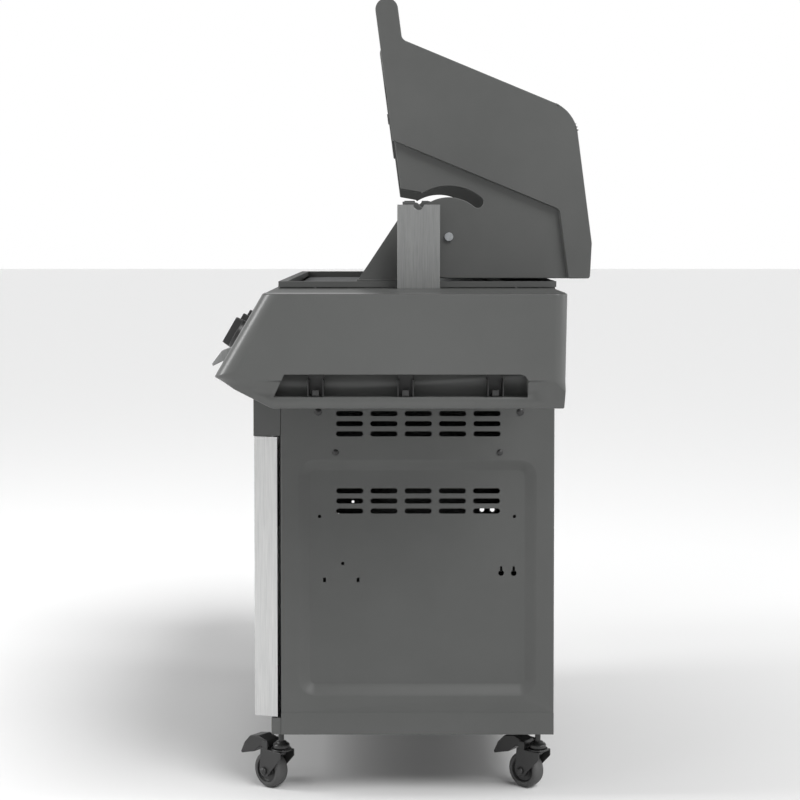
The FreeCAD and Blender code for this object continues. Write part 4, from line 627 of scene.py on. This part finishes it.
POCKET_FRONT, POCKET_REAR, POCKET_FOOT, POCKET_TOP, POCKET_BACK = -207.5, 198.5, 730, 768, 572
pocket = plate(
    (
        (POCKET_FRONT + 2, POCKET_FOOT), (POCKET_REAR, POCKET_FOOT), (POCKET_REAR, POCKET_TOP - 10),
        (POCKET_REAR - 4, POCKET_TOP - 3), (POCKET_REAR - 12, POCKET_TOP), (POCKET_FRONT + 20, POCKET_TOP),
    ),
    POCKET_BACK, cap_high[0] + 20,
)
for side in ("right", "left"):
    cap = carved(cap_shell(), pocket.copy())
    if side == "left":
        cap = mirrored(cap)
    even_shading(link_piece(
        f"shelf_end_cap_{side}_moulded", smooth(cap), grey_moulding, "grey_moulding", "root",
        f"shelf_end_cap_{side}",
    ))
print("end caps", 2)

# %% [markdown]
# ## Tool hooks
# Each hook is a small pressed bracket in glossy black: a back with two cheeks, and a tongue with a round top
# that a tool hangs from. It is made of three plates with every edge rounded, because it is the thin bright
# lines on those edges that show in the dark pocket.

# %% Tool hooks
HOOK_MIDDLE, HOOK_PITCH, HOOK_REACH = 4.5, 143, 30
HOOK_HALF, TONGUE_HALF = 13, 5.5


def tool_hook(y):
    """A back plate, two cheeks, and a tongue that turns up at its end."""
    back, foot, tip = POCKET_BACK, POCKET_FOOT + 1, POCKET_BACK + HOOK_REACH
    parts = [rounded_box((back, y - HOOK_HALF, foot), (back + 2, y + HOOK_HALF, POCKET_TOP - 4), 0.6)]
    for side in (-1, 1):
        cheek = y + side * (HOOK_HALF - 1)
        parts.append(rounded_box((back, cheek - 1, foot), (tip, cheek + 1, POCKET_TOP - 10), 0.7))
    parts.append(rounded_box((back + 1, y - TONGUE_HALF, foot), (tip, y + TONGUE_HALF, foot + 3), 0.9))
    parts.append(rounded_box((tip - 3, y - TONGUE_HALF, foot), (tip, y + TONGUE_HALF, foot + 11), 1.4, 3))
    return joined(*parts)


hooks = joined(*[tool_hook(HOOK_MIDDLE + HOOK_PITCH * place) for place in (-1, 0, 1)])
hooks = joined(hooks.copy(), mirrored(hooks))
even_shading(link_piece("tool_hooks_pressed", smooth(hooks), electrocoat, "chrome", "root", "tool_hooks"))
print("tool hooks", 6)

# %% [markdown]
# ## Caster wheels
# A caster wheel is two mouldings: a grey tread, and a black hub that is dished so that only its rim and its
# boss stand out. Both are turned from half a section. One object holds the two, with a material for each,
# because on the real wheel they can't be parted either.

# %% Where the joints are
JOINTS = {joint["name"]: joint for joint in frame["joints"]}


def along_joint(mesh_data, name):
    """Moves a part that was made about z, at the origin, onto a joint's axis."""
    return stood_at(mesh_data, JOINTS[name]["axis"], JOINTS[name]["pos_m"])


# %% Caster wheels
WHEEL_RADIUS, WHEEL_HALF, AXLE_RADIUS = 31.5, 14, 4.05
HUB_EDGE = (21, 12.5)
HALF_TREAD = (HUB_EDGE, (23, 13.6), (26, 13.6), (28.6, 12.4), (30.6, 9.6), (31.4, 5), (WHEEL_RADIUS, 0))
HALF_HUB = (
    HUB_EDGE, (20.6, 9.5), (19, 8), (12, 7.2), (10.4, 8), (9.6, WHEEL_HALF), (AXLE_RADIUS, WHEEL_HALF),
)


def other_half(section):
    """A section's corners again, mirrored and in the opposite order."""
    return [(radius, -along) for radius, along in section[::-1]]


def tinted(mesh_data, index):
    """Gives a whole bmesh one of its piece's materials."""
    for face in mesh_data.faces:
        face.material_index = index
    return mesh_data


def wheel():
    tread = [*HALF_TREAD, *other_half(HALF_TREAD[:-1]), HUB_EDGE]
    hub = [*HALF_HUB, *other_half(HALF_HUB), HUB_EDGE]
    return smooth(joined(turned(tread, 64), tinted(turned(hub, 48), 1)))


for n in range(1, 5):
    even_shading(link_piece(
        f"caster_wheel_{n}_moulded", along_joint(wheel(), f"wheel_spin_{n}"), (tread_rubber, black_moulding),
        "rubber", f"caster_wheel_{n}", f"caster_wheel_{n}",
    ))
print("caster wheels", 4)

# %% [markdown]
# ## Caster forks
# The fork is pressed from one blank, so its corners are soft, and its top carries a ball race under a
# rolled lip. The axle ends in domed nuts. It could all be drawn afresh, but the CAD part's cheeks are right
# and only need rounding: the lip and the nuts are turned and added to them.

# %% Caster forks
FORK_HALF, FORK_TOP, FORK_ROUND = 18.5, 71, 1.0
NUT_RADIUS = 6.6
NUT_START = FORK_HALF - 0.4
NUT_SECTION = (
    (0, NUT_START), (NUT_RADIUS, NUT_START), (NUT_RADIUS, NUT_START + 3),
    (NUT_RADIUS * 0.92, NUT_START + 4.2), (NUT_RADIUS * 0.6, NUT_START + 6), (0, NUT_START + 6.8),
)
# Radius, and height above the top of the fork.
LIP_SECTION = (
    (5.3, -0.5), (17.4, -0.5), (18.4, 0.8), (18, 2.4), (16.6, 3.2), (15.6, 2.2), (5.3, 0.2), (5.3, -0.5),
)


def other_end(mesh_data):
    """The same part at the other end of its axis."""
    bmesh.ops.scale(mesh_data, verts=mesh_data.verts, vec=(1, 1, -1))
    bmesh.ops.reverse_faces(mesh_data, faces=mesh_data.faces)
    return mesh_data


for n in range(1, 5):
    fork = merged_copy(f"caster_fork_{n}")
    soften(fork, FORK_ROUND, 28, 3)
    nuts = joined(turned(NUT_SECTION, 24), other_end(turned(NUT_SECTION, 24)))
    lip = turned([(radius, FORK_TOP + above) for radius, above in LIP_SECTION])
    x, y, _ = JOINTS[f"caster_swivel_{n}"]["pos_m"]
    bmesh.ops.translate(lip, verts=lip.verts, vec=(x, y, 0))
    fork = joined(fork, along_joint(nuts, f"wheel_spin_{n}"), lip)
    even_shading(link_piece(
        f"caster_fork_{n}_pressed", smooth(fork), electrocoat, "caster_black", f"caster_fork_{n}",
        f"caster_fork_{n}",
    ))
print("caster forks", 4)

# %% [markdown]
# ## Caster stems
# A caster's stem is one turned pin with a swelling for the ball race, and a hexagon nut locks it against the
# base. A pin like this is quickest as a section that is spun. The nut is a cylinder with six sides, and its
# edges are bevelled like any other.

# %% Caster stems
BASE_FOOT = 111
STEM_SECTION = (
    (0, 63.2), (8.6, 63.2), (8.6, 67), (5, 67.4), (5, 74.5), (14.4, 74.5), (15, 76), (15, 80), (13.4, 82.4),
    (9.5, 83.6), (9.2, 85.8), (7, 86.6), (5, 86.6), (5, 113.6), (0, 113.6),
)
LOCK_NUT_RADIUS, LOCK_NUT_HEIGHT = 9.6, 6.4


def caster_stem(x, y):
    nut = bmesh.new()
    bmesh.ops.create_cone(
        nut, cap_ends=True, segments=6, radius1=LOCK_NUT_RADIUS * MM, radius2=LOCK_NUT_RADIUS * MM,
        depth=LOCK_NUT_HEIGHT * MM,
    )
    bmesh.ops.translate(nut, verts=nut.verts, vec=(0, 0, (BASE_FOOT - LOCK_NUT_HEIGHT / 2 - 0.2) * MM))
    bevel_edges(nut, nut.edges[:], 0.6)
    stem = joined(turned(STEM_SECTION), nut)
    bmesh.ops.translate(stem, verts=stem.verts, vec=(x, y, 0))
    return smooth(stem)


stems = [caster_stem(*JOINTS[f"caster_swivel_{n}"]["pos_m"][:2]) for n in range(1, 5)]
even_shading(link_piece(
    "caster_stems_turned", joined(*stems), electrocoat, "zinc_steel", "root", "caster_stems"
))
print("caster stems", len(stems))

# %% [markdown]
# ## Brake pedals
# A brake pedal is a stiff black moulding that a shoe presses, so it has no sharp edge anywhere. The CAD part
# gives its shape. A subdivision surface would melt its corners away, so its edges get a wide bevel instead.

# %% Brake pedals
for n in range(1, 5):
    pedal = merged_copy(f"brake_pedal_{n}")
    soften(pedal, 1.6, 24, 3)
    even_shading(link_piece(
        f"brake_pedal_{n}_moulded", pedal, black_moulding, "black_plastic", f"brake_pedal_{n}",
        f"brake_pedal_{n}",
    ))
print("brake pedals", 4)

# %% [markdown]
# ## Screws
# The screws in the side panels have low domed heads in black. A sphere with its lower half cut off would
# have too many faces for so small a part, so each head is spun from a short arc.

# %% Screws
# Place on the panel (y, z) and radius of each head.
HEADS = ((-116.5, 608, 5.5), (170, 608, 5.5), (-146.5, 679, 6.5), (205.5, 679, 6.5))
HEAD_HEIGHT, HEAD_SINK, ARC_STEP = 3.4, 0.5, 15


def dome(radius, height):
    """Half the section of a domed head, from its middle round to its middle."""
    arc = [
        (radius * math.sin(math.radians(angle)), height * math.cos(math.radians(angle)))
        for angle in range(90, 0, -ARC_STEP)
    ]
    return [(0, -HEAD_SINK), (radius, -HEAD_SINK), *arc, (0, height)]


fasteners = [
    stood_at(
        turned(dome(radius, HEAD_HEIGHT), 28), (side, 0, 0), (side * panel_high[0] * MM, y * MM, z * MM)
    )
    for side in (1, -1) for y, z, radius in HEADS
]
even_shading(link_piece(
    "panel_fasteners_domed", smooth(joined(*fasteners)), electrocoat, "zinc_steel", "root", "panel_fasteners"
))
print("screws", len(fasteners))

# %% [markdown]
# ## Cooking grids
# The grids are cast iron under glassy enamel: round-shouldered bars that run front to back, held by a rail at
# each end and one across the middle. Each bar is a block with rounded edges. An array modifier would repeat
# one bar as well, but a loop lets each grid fill its own width.

# %% Cooking grids
BAR_PITCH, BAR_WIDE, RAIL_WIDE = 16, 7, 12
for side in ("right", "left"):
    low, high = (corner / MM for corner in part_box(f"cooking_grid_{side}"))
    across = high[0] - low[0]
    gaps = round((across - BAR_WIDE) / BAR_PITCH)
    step = (across - BAR_WIDE) / gaps
    middle = (low[1] + high[1]) / 2
    bars = []
    for n in range(gaps + 1):
        x = low[0] + step * n
        bars.append(rounded_box((x, low[1] + 1, low[2]), (x + BAR_WIDE, high[1] - 1, high[2]), 2.4, 2))
    for y in (low[1], middle - RAIL_WIDE / 2, high[1] - RAIL_WIDE):
        bars.append(rounded_box((low[0] + 1, y, low[2]), (high[0] - 1, y + RAIL_WIDE, high[2] - 1.5), 1.8, 2))
    even_shading(link_piece(
        f"cooking_grid_{side}_cast", joined(*bars), enamel, "grid_iron", "root", f"cooking_grid_{side}"
    ))
    print(side, "grid bars", gaps + 1)

# %% [markdown]
# ## Thermometer dial
# The lid's thermometer has a pale printed plate under its rim, with a scale of marks and a red pointer. The
# marks could be a picture, but there are only a few, so each is a thin bar laid round the plate. The plate's
# place and tilt are read from the largest flat face of the CAD part.

# %% Thermometer dial
# Anodised aluminium, printed white: pale and satin.
dial_paint = grained("printed_aluminium_plate", ("d8d8d4", "e4e4e0"), 30, 0.8, 0.02, 0.0, (0.35, 0.45), 1.5)
# Screen-printed ink: black and a little duller than the plate.
mark_ink = grained("screen_printed_ink", ("151515", "1d1d1d"), 20, 0.8, 0.01, 0.0, (0.4, 0.5), 1.5)
# Enamelled pointer: a thin red paint with a soft shine.
pointer_red = grained("painted_pointer", ("a82018", "b8281e"), 20, 0.8, 0.02, 0.0, (0.35, 0.45), 1.5)
casing = merged_copy("lid_thermometer")
front_face = max(casing.faces, key=lambda face: face.calc_area())
dial_middle, dial_way = front_face.calc_center_bounds(), front_face.normal.copy()
casing.free()
print("dial faces", [round(value, 2) for value in dial_way])

# %% Marks and pointer
PLATE_SECTION = ((0, 0.1), (25.5, 0.1), (26, 0.4), (25.6, 0.7), (0, 0.7))
BOSS_SECTION = ((0, 0.5), (3, 0.5), (3, 2), (2.2, 2.6), (0, 2.6))
MARKS, MARKS_START, MARKS_STEP, MARKS_RADIUS = 31, 135, 9, 19
POINTER_ANGLE = 48


def dial_bar(along, across, start, angle, thick):
    """A flat bar on the plate, from a radius outwards, turned to an angle."""
    bar = rounded_box((-across / 2, start, 0.3), (across / 2, start + along, 0.3 + thick), 0.12, 1)
    turn = Matrix.Rotation(math.radians(angle), 3, "Z")
    bmesh.ops.rotate(bar, verts=bar.verts, cent=(0, 0, 0), matrix=turn)
    return bar


def dial_mark(n):
    """Every fifth mark is longer and wider."""
    long, wide = (4, 0.9) if n % 5 == 0 else (2.2, 0.5)
    return dial_bar(long, wide, MARKS_RADIUS, MARKS_START - MARKS_STEP * n, 0.8)


dial = joined(
    turned(PLATE_SECTION, 56), *[tinted(dial_mark(n), 1) for n in range(MARKS)],
    tinted(dial_bar(20, 1.1, -4, POINTER_ANGLE, 1.4), 2), tinted(turned(BOSS_SECTION, 24), 1),
)
upright = dial_way.to_track_quat("Z", "X").to_matrix()
bmesh.ops.rotate(dial, verts=dial.verts, cent=(0, 0, 0), matrix=upright)
bmesh.ops.translate(dial, verts=dial.verts, vec=dial_middle)
link_piece("thermometer_dial", smooth(dial), (dial_paint, mark_ink, pointer_red), "stainless", "lid")
print("dial marks", MARKS)

# %% [markdown]
# ## Floor and light
# A studio has a pale floor, pale walls and large soft lights. Here a broad soft light comes from above and
# behind the right-hand end, and draws the dish's foot and the hood's edges. Two strips, in front and behind,
# run a highlight along the rounded ends of the shelves. One lamp in the middle would be simpler, but would
# leave those rounds flat.

# %% Floor
floor_mesh = bmesh.new()
bmesh.ops.create_grid(floor_mesh, x_segments=1, y_segments=1, size=40)
floor_data = bpy.data.meshes.new("studio_floor")
floor_mesh.to_mesh(floor_data)
floor_mesh.free()
floor = bpy.data.objects.new("studio_floor", floor_data)
bpy.context.scene.collection.objects.link(floor)
floor_with_painted_shadow, tree, shader = new_surface("painted_studio_floor", 0.0, 0.8, 1.45)
place = add_node(tree, "ShaderNodeTexCoord")
spread = add_node(tree, "ShaderNodeMapping", {"Scale": (0.4, 0.4, 0.4)}, {"Vector": (place, "Object")})
# The floor darkens towards the grill: a painted shadow pool under it, fading to near white far out.
painted_shadow_pool = add_node(
    tree, "ShaderNodeTexGradient", links={"Vector": (spread, "Vector")}, gradient_type="QUADRATIC_SPHERE"
)
painted_shadow_tone = add_node(tree, "ShaderNodeValToRGB", links={"Fac": (painted_shadow_pool, "Fac")})
shade_between(painted_shadow_tone, "fafafa", "cfcfcf", 0.0, 0.8)
tree.links.new(painted_shadow_tone.outputs["Color"], shader.inputs["Base Color"])
floor_data.materials.append(floor_with_painted_shadow)

print("floor ready")

# %% Walls and lights
world = bpy.data.worlds.new("studio_room")
bpy.context.scene.world = world
world.use_nodes = True
sky = world.node_tree
direction = add_node(sky, "ShaderNodeTexCoord")
height = add_node(sky, "ShaderNodeSeparateXYZ", links={"Vector": (direction, "Generated")})
walls = add_node(sky, "ShaderNodeValToRGB", links={"Fac": (height, "Z")})
shade_between(walls, "ffffff", "767676", 0.26, 0.38)
sky.links.new(walls.outputs["Color"], sky.nodes["Background"].inputs["Color"])
sky.nodes["Background"].inputs["Strength"].default_value = 1.0
bpy.context.scene.view_settings.view_transform = "Standard"


def soft_light(name, place, aim, size, power):
    lamp = bpy.data.lights.new(name, "AREA")
    lamp.shape = "RECTANGLE"
    lamp.size, lamp.size_y = size
    lamp.energy = power
    holder = bpy.data.objects.new(name, lamp)
    holder.location = place
    holder.rotation_euler = (Vector(aim) - Vector(place)).to_track_quat("-Z", "Y").to_euler()
    bpy.context.scene.collection.objects.link(holder)


MIDDLE, SKYLIGHT_FROM = (0, 0, 0.75), (0.5, 0.42, 0.76)
soft_light("front_softbox", (2.4, -2.6, 2.9), MIDDLE, (1.4, 1.4), 12)
soft_light("front_strip", (0.4, -3.0, 2.3), MIDDLE, (0.7, 2.0), 70)
soft_light("rear_strip", (0.4, 3.0, 1.8), MIDDLE, (0.5, 2.0), 25)
skylight = bpy.data.lights.new("skylight", "SUN")
skylight.energy, skylight.angle = 2.6, math.radians(30)
skylight_holder = bpy.data.objects.new("skylight", skylight)
skylight_holder.rotation_euler = Vector(SKYLIGHT_FROM).to_track_quat("Z", "Y").to_euler()
bpy.context.scene.collection.objects.link(skylight_holder)
print("lights", 4)

# %% [markdown]
# ## Camera
# The camera stands off the grill's right-hand end, level with the lid's pivot, and looks straight at it. Its
# lens is shifted down, as on a view camera, so that the uprights stay almost upright. Tilting it further
# would do the same, but would lean them together.

# %% Camera
camera_data = bpy.data.cameras.new("camera")
camera_data.sensor_width = 36.0
camera_data.lens = 75.0
camera_data.shift_x = 0.0025
camera_data.shift_y = -0.1404
camera = bpy.data.objects.new("camera", camera_data)
camera.location = (3.24, -0.0075, 0.9946)
camera.rotation_euler = (math.radians(88.04), 0, math.radians(90))
bpy.context.scene.collection.objects.link(camera)
bpy.context.scene.camera = camera
print("camera at", tuple(camera.location))

# %% [markdown]
# ## New pieces
# The pieces made here mustn't be bigger than the CAD model that they dress. Here the new pieces are only
# counted, and their number is printed.

# %% Count of new pieces
print("new pieces", len(made_pieces))
